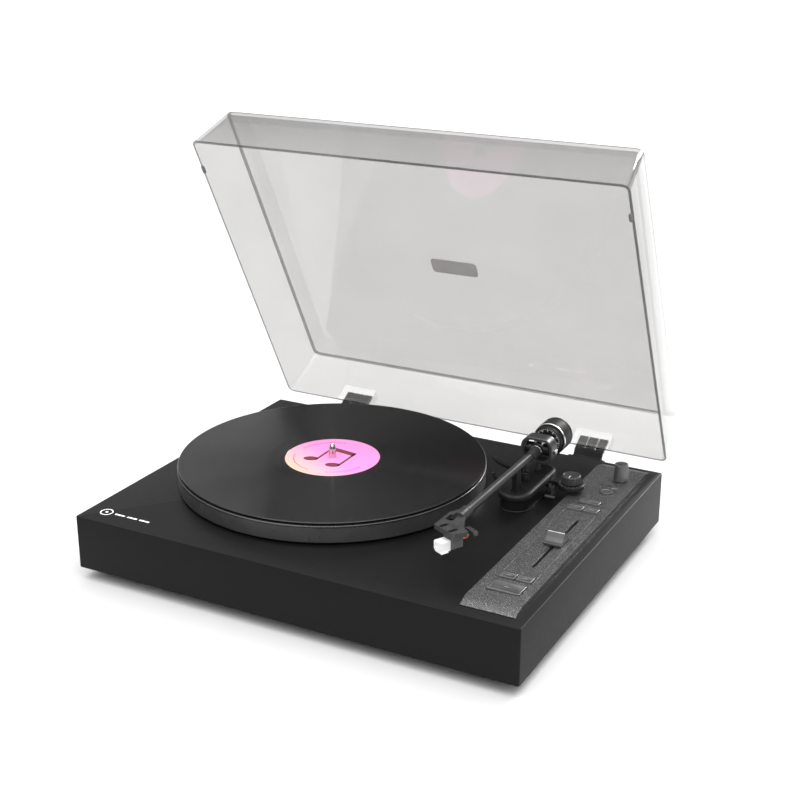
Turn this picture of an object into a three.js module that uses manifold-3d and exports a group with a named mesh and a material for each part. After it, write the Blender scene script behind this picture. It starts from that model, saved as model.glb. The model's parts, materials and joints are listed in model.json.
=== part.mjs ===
import * as THREE from 'three';
import { mergeVertices } from 'three/addons/utils/BufferGeometryUtils.js';
import Module from 'manifold-3d';

const wasm = await Module();
wasm.setup();

// Millimetres. While the pieces are made, z = 0 is the deck (the top of the plinth), the plinth's
// middle is at x = y = 0, +X is right, +Y is back. The last lines move the whole set so that the
// origin is the middle of the bounding box's bottom.

// ---------------------------------------------------------------- driving dimensions
const GAP = 0.3;

const PLINTH = { w: 450.3, d: 354, h: 52.2, wall: 5, deck: 6, corner: 2, chamfer: 0.8 };
const COVER = { t: 3, bossR: 5, bossX: 205, bossY: 157 };
const FOOT = { r: 20, h: 12, x: 176, y: 128 };

const SPINDLE = { x: -58.9, y: 12.4, r: 3.6, top: 37, hubR: 12, hubBottom: 3, hubTop: 13.7 };
const PLATTER = { r: 151.4, bottom: 2, top: 19, plate: 5, rimWall: 8, hole: 4 };
const MAT = { r: 147, bottom: 19.3, top: 20.6 };
const RECORD = { r: 150.8, bottom: 20.9, top: 22.3, labelR: 46.7, recess: 0.6, hole: 3.9 };
const HOUSING = { r: 10, bore: 3.9, bottom: -41, top: 2.4, flangeR: 24, flangeT: 4 };
const STATOR = { rIn: 16, rOut: 36, top: 11 };
const ROTOR = { rIn: 40, rOut: 56, bottom: 4.5 };

const PANEL = { x0: 164.5, x1: 214.3, y0: -162.6, y1: 169, z: 4.5, bevel: 12.8, lip: 0.6 };
const OPENING = { x0: 169.5, x1: 209.5, y0: -141, y1: 147 };
const BUTTON = { top: 6, bottom: -0.2, slack: 0.35, flange: 1, flangeLow: 0.4, flangeHigh: 2 };
const BUTTONS = {
  start_stop_button: [175.5, 205.2, -134.5, -118],
  speed_button_a: [175.8, 190.1, -110.6, -100.8],
  speed_button_b: [190.9, 205.2, -110.6, -100.8],
  range_button_a: [176, 190.1, 44.4, 53.9],
  range_button_b: [190.9, 205, 44.4, 53.9],
  lock_button: [180.6, 200.4, 61.7, 69.7],
};
const PUSH = { x: 195.5, y: 96.1, r: 6.2 };
const LAMP = { x: 197.3, y: 112.9, r: 5.6, top: 4.8, bottom: -30 };
const LED = { x: 183.8, y: 112.5, r: 1.25, top: 4.8 };
const KNOB = { x: 198, y: 130, r: 7.2, bottom: 5, top: 22, stemR: 3, stemBottom: -5.5 };
const SLOT = { x: 194.4, w: 2.6, y0: -80.5, y1: 26.5 };
const FADER = {
  x: 194, w: 16.5, y: -27, len: 20, bottom: 5, shoulder: 7.4, top: 14.6, stem: 1.8,
  stemLen: 6,
};
const BOARD = { x0: 166, x1: 213, y0: -150, y1: 150, top: -6.3, t: 1.6, switchTop: -1.6 };

// The arm: its level tube runs along Y above the arm's pivot point.
const ARM = { x: 128.2, y: 87.7, z: 40, r: 3.8, front: -80, stubR: 4.2, stubFrom: 95, rear: 138 };
const BASE = {
  x: 127.2, footR: 14.5, plateR: 16.9, y0: 36, y1: 92, bottom: 0.3, plateZ: 11.5,
  top: 17.5, bevel: 3,
};
const LOBE = { x: 164.7, y: 82.4, r: 13, bottom: 8.7, top: 13.2 };
const NECK = [[136, 79.6], [151, 79.6], [157, 72.5], [165, 80], [158, 93.4], [147, 98.4], [136, 100]];
const YAW = { r: 2.4, bore: 2.75, bottom: 8, boreBottom: 7.7, collarR: 4.4, collarTop: 18.7 };
const RING = { hx: 16.3, hz: 13.1, corner: 10, ix: 13.2, iz: 10, iCorner: 7.4, y0: 80.9, y1: 94.5 };
const BLOCK = {
  r: 7, y0: 82, y1: 93.4, sleeveY: 65, collarY: 80.4, collarR: 5.8, lugR: 5.8,
  lugX: 11, pocket: 8.2,
};
const SCREW = { r: 1.8, headR: 2.8, in: 8.6, head: 16.6, out: 18.2 };
const WEIGHT = { r: 16.5, y0: 114, y1: 134.6, bore: 4.6 };
const DIAL = { r: 14.4, y0: 108.4, y1: 113.7 };
const REST = { half: 2.6, y0: 29.6, y1: 40.2 };
const CLIP = {
  x: -5.2, z: 31, y0: 32.2, y1: 36.2, open: 118, barrelR: 2, bore: 1.2, pinR: 0.8,
  reach: 3.4, clear: 3.5, t: 1.6,
};
const LIFT = {
  r: 43.8, half: 2.1, from: -86, to: -142, top: 35.9, t: 3.2, x: 125.8, y: 59.7,
  rodR: 1.4, rodBottom: 9,
};
const GUIDE = { r: 2.9, top: 23.4, bore: 1.75, boreBottom: 8.7, capR: 4.4, capZ0: 23.8, capZ1: 26.2 };
const CUE = {
  y: 76, z: 9.5, shaftR: 1.9, x0: 134, x1: 147, tipY: 51.6, tipZ: 8.8, tipX0: 150.4,
  tipX1: 160.8, tipR: 2.2,
};
const SKATE = { r: 9.3, bottom: 13.7, top: 20.3, stemR: 2.5, stemBottom: 9.5 };

// The headshell's own frame: u points forward along the offset, v to the right of it.
const SHELL = {
  x: 128.35, y: -120.7, offset: 26.5, bottom: 38, top: 42.1, neckR: 5.4,
  neckFront: -90, neckRear: -73, slotHalf: 1.9, slotLength: 9,
};
const CARTRIDGE = { v: 6.3, u0: -17, u1: -5, z0: 24, z1: 34.5, flangeV: 8.6, flangeU0: -15, flangeU1: -6 };
const GUARD = { v: 4.9, u0: -4.4, u1: 6, z0: 22.7, z1: 32.4, wall: 1.2 };
const NEEDLE = { r: 0.6, u1: 2.5, z: 26.5, tipZ: 24.2 };
const LEADS = { lead_red: [4.8, 31, 0.8], lead_white: [1.6, 29.4, 0.2], lead_green: [-1.6, 28, -0.4] };

// The dust cover is made shut and then swung open about the hinge line.
const LID = {
  w: 448, d: 352.3, h: 57.6, rim: 2.5, wall: 2.6, inX: 6.8, inFront: 5, inRear: 6.7,
  corner: 7, open: 62.35,
};
const HINGE = {
  x: 140, y: 186.9, z: -11.2, half: 19, armHalf: 15.2, earT: 3.4, earR: 7.3, pinR: 2.5,
  barrelR: 5.2,
};
const SOCKET = {
  half: 20, y0: 173.2, y1: 184.6, z0: 4.2, z1: 24, pocketHalf: 15.8, py0: 179.1,
  py1: 182.9, pz1: 20,
};
const BUMPER = { x: 221.3, y: -141.5, w: 3.4, len: 9, z0: 0.3, z1: 2.2 };
const BADGE = { x: -2.5, y: 3.2, w: 51, d: 18, t: 0.9, corner: 4 };

const AUDIO = { x: 60, z: -28, w: 70, h: 22, r: 4.2, bore: 3.1, pitch: 20 };
const SWITCH = { x: 14, z: -28, slotW: 10, slotH: 4.8, lever: 4 };
const INLET = { x: -60, z: -28, r: 6, flangeR: 7.6, bore: 3.2, pinR: 1.1 };
const GROUND = { x: 112, z: -28, r: 5.5, shaftR: 2 };

const FINE = 80; // facets round the platter and record
const MEDIUM = 28;
const SMALL = 16;
const TINY = 10;

// ---------------------------------------------------------------- solids
const rad = (degrees) => (degrees * Math.PI) / 180;

// Turns a closed three.js geometry into a solid with outward faces.
function solid(geometry) {
  const bare = new THREE.BufferGeometry();
  const open = geometry.index ? geometry.toNonIndexed() : geometry;
  bare.setAttribute('position', open.getAttribute('position').clone());
  const merged = mergeVertices(bare, 1e-4);
  const xyz = merged.getAttribute('position').array;
  const index = merged.getIndex().array;
  const tris = [];
  let volume = 0;
  const a = new THREE.Vector3();
  const b = new THREE.Vector3();
  const c = new THREE.Vector3();
  for (let i = 0; i < index.length; i += 3) {
    const [p, q, r] = [index[i], index[i + 1], index[i + 2]];
    if (p === q || q === r || r === p) continue;
    tris.push(p, q, r);
    a.fromArray(xyz, p * 3);
    b.fromArray(xyz, q * 3);
    c.fromArray(xyz, r * 3);
    volume += a.dot(b.cross(c));
  }
  if (volume < 0) tris.reverse();
  return new wasm.Manifold(
    new wasm.Mesh({
      numProp: 3,
      vertProperties: new Float32Array(xyz),
      triVerts: new Uint32Array(tris),
    }),
  );
}

const join = (...parts) => parts.reduce((sum, part) => sum.add(part));
const cut = (body, ...tools) => tools.reduce((sum, tool) => sum.subtract(tool), body);

function box(x0, x1, y0, y1, z0, z1) {
  const geometry = new THREE.BoxGeometry(x1 - x0, y1 - y0, z1 - z0);
  geometry.translate((x0 + x1) / 2, (y0 + y1) / 2, (z0 + z1) / 2);
  return solid(geometry);
}

// A rectangle with rounded corners; a corner radius of half the width makes a stadium.
function roundRect(x0, x1, y0, y1, r) {
  const shape = new THREE.Shape();
  shape.moveTo(x0 + r, y0);
  shape.lineTo(x1 - r, y0);
  shape.absarc(x1 - r, y0 + r, r, -Math.PI / 2, 0);
  shape.lineTo(x1, y1 - r);
  shape.absarc(x1 - r, y1 - r, r, 0, Math.PI / 2);
  shape.lineTo(x0 + r, y1);
  shape.absarc(x0 + r, y1 - r, r, Math.PI / 2, Math.PI);
  shape.lineTo(x0, y0 + r);
  shape.absarc(x0 + r, y0 + r, r, Math.PI, 1.5 * Math.PI);
  return shape;
}

function polygon(points) {
  return new THREE.Shape(points.map(([x, y]) => new THREE.Vector2(x, y)));
}

const rectangle = (x0, x1, y0, y1) => polygon([[x0, y0], [x1, y0], [x1, y1], [x0, y1]]);

// A flat shape pulled up from z0 to z1, with its top and bottom edges bevelled.
function slab(shape, z0, z1, bevel = 0, curveSegments = 6) {
  const geometry = new THREE.ExtrudeGeometry(shape, {
    depth: z1 - z0 - 2 * bevel,
    bevelEnabled: bevel > 0,
    bevelThickness: bevel,
    bevelSize: bevel,
    bevelOffset: -bevel,
    bevelSegments: 1,
    curveSegments,
  });
  geometry.translate(0, 0, z0 + bevel);
  return geometry;
}

// A shape drawn in (y, z) and pulled along X.
function slabX(shape, x0, x1, bevel = 0, curveSegments = 6) {
  const geometry = slab(shape, x0, x1, bevel, curveSegments);
  geometry.applyMatrix4(new THREE.Matrix4().set(0, 0, 1, 0, 1, 0, 0, 0, 0, 1, 0, 0, 0, 0, 0, 1));
  return geometry;
}

// A shape drawn in (x, z) and pulled along Y.
function slabY(shape, y0, y1, bevel = 0, curveSegments = 6) {
  const geometry = slab(shape, -y1, -y0, bevel, curveSegments);
  geometry.rotateX(Math.PI / 2);
  return geometry;
}

// A profile of [radius, height] points turned about the vertical line through (x, y).
function turned(profile, x, y, segments = MEDIUM) {
  const points = profile.map(([r, h]) => new THREE.Vector2(r, h));
  const geometry = new THREE.LatheGeometry(points, segments);
  geometry.rotateX(Math.PI / 2);
  geometry.translate(x, y, 0);
  return geometry;
}

// A rod's profile from height a to b, with bevelled ends, or a ring's when it has a bore.
function rodProfile(r, a, b, bevel = 0, bore = 0) {
  if (bore > 0) {
    return [[bore, a], [r - bevel, a], [r, a + bevel], [r, b - bevel], [r - bevel, b], [bore, b], [bore, a]];
  }
  const sides = [[r, a], [r, b]];
  if (bevel > 0) {
    sides.splice(0, 2, [r - bevel, a], [r, a + bevel], [r, b - bevel], [r - bevel, b]);
  }
  return [[0, a], ...sides, [0, b]];
}

function rodZ(r, x, y, z0, z1, segments = SMALL, bevel = 0, bore = 0) {
  return solid(turned(rodProfile(r, z0, z1, bevel, bore), x, y, segments));
}

function rodX(r, y, z, x0, x1, segments = SMALL, bevel = 0, bore = 0) {
  const geometry = turned(rodProfile(r, x0, x1, bevel, bore), 0, 0, segments);
  geometry.rotateY(Math.PI / 2);
  geometry.translate(0, y, z);
  return solid(geometry);
}

function rodY(r, x, z, y0, y1, segments = SMALL, bevel = 0, bore = 0) {
  const geometry = turned(rodProfile(r, y0, y1, bevel, bore), 0, 0, segments);
  geometry.rotateX(-Math.PI / 2);
  geometry.translate(x, 0, z);
  return solid(geometry);
}

// A round wire through a list of points.
function wire(points, r, steps = 16) {
  const curve = new THREE.CatmullRomCurve3(points.map((p) => new THREE.Vector3(...p)));
  const section = new THREE.Shape();
  section.absarc(0, 0, r, 0, 2 * Math.PI);
  return solid(new THREE.ExtrudeGeometry(section, { steps, extrudePath: curve, curveSegments: 4 }));
}

// A body skinned over a stack of rounded rectangles, each [z, x0, x1, y0, y1, corner].
function stack(sections, cornerSteps = 4) {
  const rings = sections.map(([z, x0, x1, y0, y1, r]) => {
    const ring = [];
    const corners = [[x1 - r, y1 - r, 0], [x0 + r, y1 - r, 90], [x0 + r, y0 + r, 180], [x1 - r, y0 + r, 270]];
    for (const [cx, cy, start] of corners) {
      for (let i = 0; i <= cornerSteps; i += 1) {
        const angle = rad(start + (90 * i) / cornerSteps);
        ring.push([cx + r * Math.cos(angle), cy + r * Math.sin(angle), z]);
      }
    }
    return ring;
  });
  const n = rings[0].length;
  const positions = [];
  const face = (...points) => points.forEach((point) => positions.push(...point));
  for (let k = 0; k + 1 < rings.length; k += 1) {
    for (let i = 0; i < n; i += 1) {
      const j = (i + 1) % n;
      face(rings[k][i], rings[k][j], rings[k + 1][j]);
      face(rings[k][i], rings[k + 1][j], rings[k + 1][i]);
    }
  }
  const last = rings[rings.length - 1];
  for (let i = 1; i + 1 < n; i += 1) {
    face(rings[0][0], rings[0][i + 1], rings[0][i]);
    face(last[0], last[i], last[i + 1]);
  }
  const geometry = new THREE.BufferGeometry();
  geometry.setAttribute('position', new THREE.Float32BufferAttribute(positions, 3));
  return solid(geometry);
}

// Turns a solid about a line along X or Y through the given point.
function swing(part, axis, degrees, y, z, x = 0) {
  const turn = axis === 'x' ? [degrees, 0, 0] : [0, degrees, 0];
  return part.translate([-x, -y, -z]).rotate(turn).translate([x, y, z]);
}

// ---------------------------------------------------------------- the set of pieces
const turntable = new THREE.Group();
turntable.name = 'turntable';

const FINISH = {
  cabinet: [0x2b2b2c, 0.62, 0],
  cover: [0x232323, 0.8, 0],
  rubber: [0x1a1a1a, 0.9, 0],
  panel: [0x58585a, 0.5, 0.4],
  button: [0x5b5b5d, 0.5, 0.3],
  knob: [0x4a4a4c, 0.4, 0.5],
  fader: [0xa9a9ab, 0.4, 0.4],
  clear: [0xd9d9d6, 0.1, 0],
  lamp: [0xe8e4d0, 0.3, 0],
  led: [0xb02a20, 0.3, 0],
  board: [0x1f4a30, 0.6, 0],
  steel: [0xb8babd, 0.25, 1],
  alloy: [0x3f3f41, 0.4, 0.8],
  felt: [0x202022, 0.95, 0],
  vinyl: [0x121213, 0.3, 0],
  label: [0xf27fc4, 0.6, 0],
  black: [0x161616, 0.45, 0],
  grey: [0x66676a, 0.35, 0.7],
  weight: [0x4d4e50, 0.4, 0.6],
  white: [0xf2f2f0, 0.4, 0],
  red: [0xc23a28, 0.5, 0],
  green: [0x1fae3c, 0.5, 0],
  copper: [0x9a5c33, 0.4, 0.8],
  badge: [0xb9babc, 0.3, 0.8],
};

function add(name, part, finish) {
  const shape = part instanceof THREE.BufferGeometry ? solid(part) : part;
  const mesh = shape.getMesh();
  let geometry = new THREE.BufferGeometry();
  geometry.setAttribute('position', new THREE.BufferAttribute(new Float32Array(mesh.vertProperties), 3));
  geometry.setIndex(new THREE.BufferAttribute(new Uint32Array(mesh.triVerts), 1));
  geometry = geometry.toNonIndexed();
  geometry.computeVertexNormals();
  const [color, roughness, metalness] = FINISH[finish];
  const body = new THREE.Mesh(geometry, new THREE.MeshStandardMaterial({ color, roughness, metalness }));
  body.name = name;
  turntable.add(body);
}

// ---------------------------------------------------------------- plinth, cover, feet
const halfW = PLINTH.w / 2;
const halfD = PLINTH.d / 2;
const inW = halfW - PLINTH.wall;
const inD = halfD - PLINTH.wall;
const rear = halfD;
const outline = roundRect(-halfW, halfW, -halfD, halfD, PLINTH.corner);

const bosses = [];
for (const sx of [-1, 1]) {
  for (const sy of [-1, 1]) {
    const top = -PLINTH.deck + 1;
    const low = -PLINTH.h + COVER.t + GAP;
    bosses.push(rodZ(COVER.bossR, sx * COVER.bossX, sy * COVER.bossY, low, top, SMALL));
  }
}
const shell = cut(
  solid(slab(outline, -PLINTH.h, 0, PLINTH.chamfer)),
  box(-inW, inW, -inD, inD, -PLINTH.h - 1, -PLINTH.deck),
);
add(
  'plinth',
  cut(
    join(shell, ...bosses),
    rodZ(HOUSING.r + 0.4, SPINDLE.x, SPINDLE.y, -PLINTH.deck - 1, 1, MEDIUM),
    box(OPENING.x0, OPENING.x1, OPENING.y0, OPENING.y1, -PLINTH.deck - 1, 1),
    rodZ(6, ARM.x, ARM.y - 20, -PLINTH.deck - 1, 1),
    box(AUDIO.x - 32, AUDIO.x + 32, inD - 1, rear + 1, AUDIO.z - 9, AUDIO.z + 9),
    box(
      SWITCH.x - SWITCH.slotW / 2,
      SWITCH.x + SWITCH.slotW / 2,
      inD - 1,
      rear + 1,
      SWITCH.z - SWITCH.slotH / 2,
      SWITCH.z + SWITCH.slotH / 2,
    ),
    rodY(INLET.r + 0.5, INLET.x, INLET.z, inD - 1, rear + 1, MEDIUM),
    rodY(GROUND.shaftR + 0.4, GROUND.x, GROUND.z, inD - 1, rear + 1),
  ),
  'cabinet',
);

add(
  'bottom_cover',
  box(-inW + GAP, inW - GAP, -inD + GAP, inD - GAP, -PLINTH.h, -PLINTH.h + COVER.t),
  'cover',
);

const FEET = { foot_fl: [-1, -1], foot_fr: [1, -1], foot_bl: [-1, 1], foot_br: [1, 1] };
for (const [name, [sx, sy]] of Object.entries(FEET)) {
  const top = -PLINTH.h - GAP;
  const low = -PLINTH.h - FOOT.h;
  const profile = [
    [0, low],
    [FOOT.r - 3, low],
    [FOOT.r - 1, low + 2],
    [FOOT.r, top - 1],
    [FOOT.r - 1, top],
    [0, top],
  ];
  add(name, turned(profile, sx * FOOT.x, sy * FOOT.y, MEDIUM), 'rubber');
}

// ---------------------------------------------------------------- control strip
const panelSection = polygon([
  [PANEL.y0, GAP],
  [PANEL.y1, GAP],
  [PANEL.y1, PANEL.lip],
  [PANEL.y1 - PANEL.bevel, PANEL.z],
  [PANEL.y0 + PANEL.bevel, PANEL.z],
  [PANEL.y0, PANEL.lip],
]);
const panelCuts = [
  box(SLOT.x - SLOT.w / 2, SLOT.x + SLOT.w / 2, SLOT.y0, SLOT.y1, -1, PANEL.z + 1),
  rodZ(PUSH.r + BUTTON.slack, PUSH.x, PUSH.y, -1, PANEL.z + 1, MEDIUM),
  rodZ(PUSH.r + BUTTON.flange + BUTTON.slack, PUSH.x, PUSH.y, -1, BUTTON.flangeHigh + GAP, MEDIUM),
  rodZ(LAMP.r + BUTTON.slack, LAMP.x, LAMP.y, -1, PANEL.z + 1, MEDIUM),
  rodZ(LED.r + BUTTON.slack, LED.x, LED.y, -1, PANEL.z + 1, TINY),
  rodZ(KNOB.stemR + BUTTON.slack, KNOB.x, KNOB.y, -1, PANEL.z + 1),
];
const wells = [
  BUTTONS.start_stop_button,
  [BUTTONS.speed_button_a[0], BUTTONS.speed_button_b[1], ...BUTTONS.speed_button_a.slice(2)],
  [BUTTONS.range_button_a[0], BUTTONS.range_button_b[1], ...BUTTONS.range_button_a.slice(2)],
  BUTTONS.lock_button,
];
for (const [x0, x1, y0, y1] of wells) {
  const s = BUTTON.slack;
  const f = BUTTON.flange + s;
  panelCuts.push(
    box(x0 - s, x1 + s, y0 - s, y1 + s, -1, PANEL.z + 1),
    box(x0 - s, x1 + s, y0 - f, y1 + f, -1, BUTTON.flangeHigh + GAP),
  );
}
add('control_panel', cut(solid(slabX(panelSection, PANEL.x0, PANEL.x1)), ...panelCuts), 'panel');

for (const [name, [x0, x1, y0, y1]] of Object.entries(BUTTONS)) {
  const cap = solid(slab(rectangle(x0, x1, y0, y1), BUTTON.bottom, BUTTON.top, 0.5));
  const f = BUTTON.flange;
  add(name, join(cap, box(x0, x1, y0 - f, y1 + f, BUTTON.flangeLow, BUTTON.flangeHigh)), 'button');
}
add(
  'lamp_button',
  turned(
    [
      [0, BUTTON.bottom],
      [PUSH.r, BUTTON.bottom],
      [PUSH.r, BUTTON.flangeLow],
      [PUSH.r + BUTTON.flange, BUTTON.flangeLow],
      [PUSH.r + BUTTON.flange, BUTTON.flangeHigh],
      [PUSH.r, BUTTON.flangeHigh],
      [PUSH.r, BUTTON.top - 0.6],
      [PUSH.r - 0.6, BUTTON.top],
      [PUSH.r - 1.6, BUTTON.top],
      [0, BUTTON.top - 0.7],
    ],
    PUSH.x,
    PUSH.y,
  ),
  'button',
);
add('lamp_post', rodZ(LAMP.r, LAMP.x, LAMP.y, LAMP.bottom, LAMP.top, MEDIUM, 0.6), 'lamp');
add('power_led', rodZ(LED.r, LED.x, LED.y, BOARD.top + GAP, LED.top, TINY, 0.3), 'led');

const pointer = box(KNOB.x - 0.7, KNOB.x + 0.7, KNOB.y - KNOB.r - 1, KNOB.y - 1.5, KNOB.top - 1, KNOB.top + 1);
const knobTurned = turned(
  [
    [0, KNOB.stemBottom],
    [KNOB.stemR, KNOB.stemBottom],
    [KNOB.stemR, KNOB.bottom],
    [KNOB.r, KNOB.bottom],
    [KNOB.r - 0.5, KNOB.top - 0.7],
    [KNOB.r - 1.2, KNOB.top],
    [0, KNOB.top],
  ],
  KNOB.x,
  KNOB.y,
);
add('power_knob', cut(solid(knobTurned), pointer), 'knob');

const half = FADER.len / 2;
const faderSection = polygon([
  [FADER.y - half, FADER.bottom],
  [FADER.y + half, FADER.bottom],
  [FADER.y + half, FADER.shoulder],
  [FADER.y + half - 2, FADER.shoulder + 0.3],
  [FADER.y + 5, FADER.top - 4.6],
  [FADER.y + 2.4, FADER.top - 1.8],
  [FADER.y + 1.3, FADER.top],
  [FADER.y - 1.3, FADER.top],
  [FADER.y - 2.4, FADER.top - 1.8],
  [FADER.y - 5, FADER.top - 4.6],
  [FADER.y - half + 2, FADER.shoulder + 0.3],
  [FADER.y - half, FADER.shoulder],
]);
add(
  'pitch_fader',
  join(
    solid(slabX(faderSection, FADER.x - FADER.w / 2, FADER.x + FADER.w / 2)),
    box(
      SLOT.x - FADER.stem / 2,
      SLOT.x + FADER.stem / 2,
      FADER.y - FADER.stemLen / 2,
      FADER.y + FADER.stemLen / 2,
      BOARD.switchTop + GAP,
      FADER.bottom + 1,
    ),
  ),
  'fader',
);

const boardParts = [box(BOARD.x0, BOARD.x1, BOARD.y0, BOARD.y1, BOARD.top - BOARD.t, BOARD.top)];
for (const [x0, x1, y0, y1] of Object.values(BUTTONS)) {
  const cx = (x0 + x1) / 2;
  const cy = (y0 + y1) / 2;
  boardParts.push(box(cx - 3, cx + 3, cy - 3, cy + 3, BOARD.top - 0.5, BOARD.switchTop));
}
boardParts.push(
  box(PUSH.x - 3, PUSH.x + 3, PUSH.y - 3, PUSH.y + 3, BOARD.top - 0.5, BOARD.switchTop),
  box(SLOT.x - 6, SLOT.x + 6, SLOT.y0 - 4, SLOT.y1 + 4, BOARD.top - 0.5, BOARD.switchTop),
);
add(
  'main_board',
  cut(join(...boardParts), rodZ(LAMP.r + 0.6, LAMP.x, LAMP.y, BOARD.top - 5, 0)),
  'board',
);

// ---------------------------------------------------------------- bearing, motor, platter, record
add(
  'bearing_housing',
  turned(
    [
      [0, HOUSING.bottom],
      [HOUSING.r, HOUSING.bottom],
      [HOUSING.r, -PLINTH.deck - GAP - HOUSING.flangeT],
      [HOUSING.flangeR, -PLINTH.deck - GAP - HOUSING.flangeT],
      [HOUSING.flangeR, -PLINTH.deck - GAP],
      [HOUSING.r, -PLINTH.deck - GAP],
      [HOUSING.r, HOUSING.top],
      [HOUSING.bore, HOUSING.top],
      [HOUSING.bore, HOUSING.bottom + 3],
      [0, HOUSING.bottom + 3],
    ],
    SPINDLE.x,
    SPINDLE.y,
  ),
  'steel',
);

const statorRing = rodZ(STATOR.rOut, SPINDLE.x, SPINDLE.y, GAP, STATOR.top, MEDIUM, 0.8, STATOR.rIn);
const coilGaps = [];
for (let i = 0; i < 9; i += 1) {
  const gap = box(STATOR.rIn + 5, STATOR.rOut + 1, -1.4, 1.4, STATOR.top - 5, STATOR.top + 1);
  coilGaps.push(gap.rotate([0, 0, i * 40]).translate([SPINDLE.x, SPINDLE.y, 0]));
}
add('motor_stator', cut(statorRing, ...coilGaps), 'copper');

const plateLow = PLATTER.top - PLATTER.plate;
add(
  'motor_rotor',
  rodZ(ROTOR.rOut, SPINDLE.x, SPINDLE.y, ROTOR.bottom, plateLow - GAP, MEDIUM, 0.6, ROTOR.rIn),
  'steel',
);
add(
  'spindle',
  turned(
    [
      [0, HOUSING.bottom + 3 + GAP],
      [SPINDLE.r, HOUSING.bottom + 4],
      [SPINDLE.r, SPINDLE.hubBottom],
      [SPINDLE.hubR, SPINDLE.hubBottom],
      [SPINDLE.hubR, SPINDLE.hubTop],
      [SPINDLE.r, SPINDLE.hubTop],
      [SPINDLE.r, SPINDLE.top - 5],
      [SPINDLE.r - 1.4, SPINDLE.top - 1.6],
      [1, SPINDLE.top],
      [0, SPINDLE.top],
    ],
    SPINDLE.x,
    SPINDLE.y,
    24,
  ),
  'steel',
);
const rimIn = PLATTER.r - PLATTER.rimWall;
add(
  'platter',
  turned(
    [
      [PLATTER.hole, plateLow],
      [rimIn, plateLow],
      [rimIn, PLATTER.bottom],
      [PLATTER.r - 0.8, PLATTER.bottom],
      [PLATTER.r, PLATTER.bottom + 0.8],
      [PLATTER.r, PLATTER.top - 0.7],
      [PLATTER.r - 0.7, PLATTER.top],
      [PLATTER.hole, PLATTER.top],
      [PLATTER.hole, plateLow],
    ],
    SPINDLE.x,
    SPINDLE.y,
    FINE,
  ),
  'alloy',
);
add('slipmat', rodZ(MAT.r, SPINDLE.x, SPINDLE.y, MAT.bottom, MAT.top, 64, 0, RECORD.hole), 'felt');
add(
  'record',
  turned(
    [
      [RECORD.hole, RECORD.bottom],
      [RECORD.r - 0.5, RECORD.bottom],
      [RECORD.r, RECORD.bottom + 0.5],
      [RECORD.r, RECORD.top - 0.5],
      [RECORD.r - 0.5, RECORD.top],
      [RECORD.labelR + GAP, RECORD.top],
      [RECORD.labelR + GAP, RECORD.top - RECORD.recess],
      [RECORD.hole, RECORD.top - RECORD.recess],
      [RECORD.hole, RECORD.bottom],
    ],
    SPINDLE.x,
    SPINDLE.y,
    FINE,
  ),
  'vinyl',
);
add(
  'record_label',
  rodZ(
    RECORD.labelR,
    SPINDLE.x,
    SPINDLE.y,
    RECORD.top - RECORD.recess + GAP,
    RECORD.top,
    44,
    0,
    RECORD.hole,
  ),
  'label',
);

// ---------------------------------------------------------------- tonearm base
const stadium = (r) => roundRect(BASE.x - r, BASE.x + r, BASE.y0 - r, BASE.y1 + r, r);
const plateSlab = solid(slab(stadium(BASE.plateR), BASE.plateZ - BASE.bevel, BASE.top, BASE.bevel, 7));
const plateTop = cut(plateSlab, box(ARM.x - 30, ARM.x + 30, -20, 150, BASE.plateZ - 5, BASE.plateZ));
const footing = solid(slab(stadium(BASE.footR), BASE.bottom, BASE.plateZ + 0.5, 0, 5));
const lobe = rodZ(LOBE.r, LOBE.x, LOBE.y, LOBE.bottom, LOBE.top, MEDIUM, 1);
const neck = solid(slab(polygon(NECK), LOBE.bottom, LOBE.top - 0.5));
add(
  'arm_base',
  cut(
    join(
      footing,
      plateTop,
      lobe,
      neck,
      rodZ(YAW.collarR, ARM.x, ARM.y, BASE.top - 1, YAW.collarTop, SMALL, 0.5),
      rodZ(GUIDE.r, LIFT.x, LIFT.y, BASE.top - 1, GUIDE.top, SMALL, 0.4),
    ),
    rodZ(YAW.bore, ARM.x, ARM.y, YAW.boreBottom, YAW.collarTop + 1),
    rodZ(GUIDE.bore, LIFT.x, LIFT.y, GUIDE.boreBottom, GUIDE.top + 1),
    rodX(CUE.shaftR + 0.4, CUE.y, CUE.z, CUE.x0 - GAP, BASE.x + BASE.footR + 1),
    rodZ(SKATE.stemR + 0.4, LOBE.x, LOBE.y, LOBE.bottom - 1, LOBE.top + 1),
  ),
  'black',
);

const skate = turned(
  [
    [0, SKATE.stemBottom],
    [SKATE.stemR, SKATE.stemBottom],
    [SKATE.stemR, SKATE.bottom],
    [SKATE.r, SKATE.bottom],
    [SKATE.r, SKATE.top - 0.8],
    [SKATE.r - 0.8, SKATE.top],
    [0, SKATE.top],
  ],
  LOBE.x,
  LOBE.y,
);
const flutes = [];
for (let i = 0; i < 18; i += 1) {
  const flute = rodZ(0.8, SKATE.r + 0.45, 0, SKATE.bottom + 0.6, SKATE.top + 1, TINY);
  flutes.push(flute.rotate([0, 0, i * 20]).translate([LOBE.x, LOBE.y, 0]));
}
add('anti_skate_knob', cut(solid(skate), ...flutes), 'knob');

const blade = polygon([
  [144.7, 74.6],
  [147.6, 77.6],
  [157.4, 60.4],
  [157.4, 50.8],
  [154.4, 50.8],
  [154.4, 58.6],
]);
add(
  'cue_lever',
  join(
    rodX(CUE.shaftR, CUE.y, CUE.z, CUE.x0, CUE.x1, SMALL, 0.3),
    solid(slab(blade, CUE.z - 0.9, CUE.z + 0.9)),
    rodX(CUE.tipR, CUE.tipY, CUE.tipZ, CUE.tipX0, CUE.tipX1, SMALL, 0.5),
  ),
  'black',
);

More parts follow.
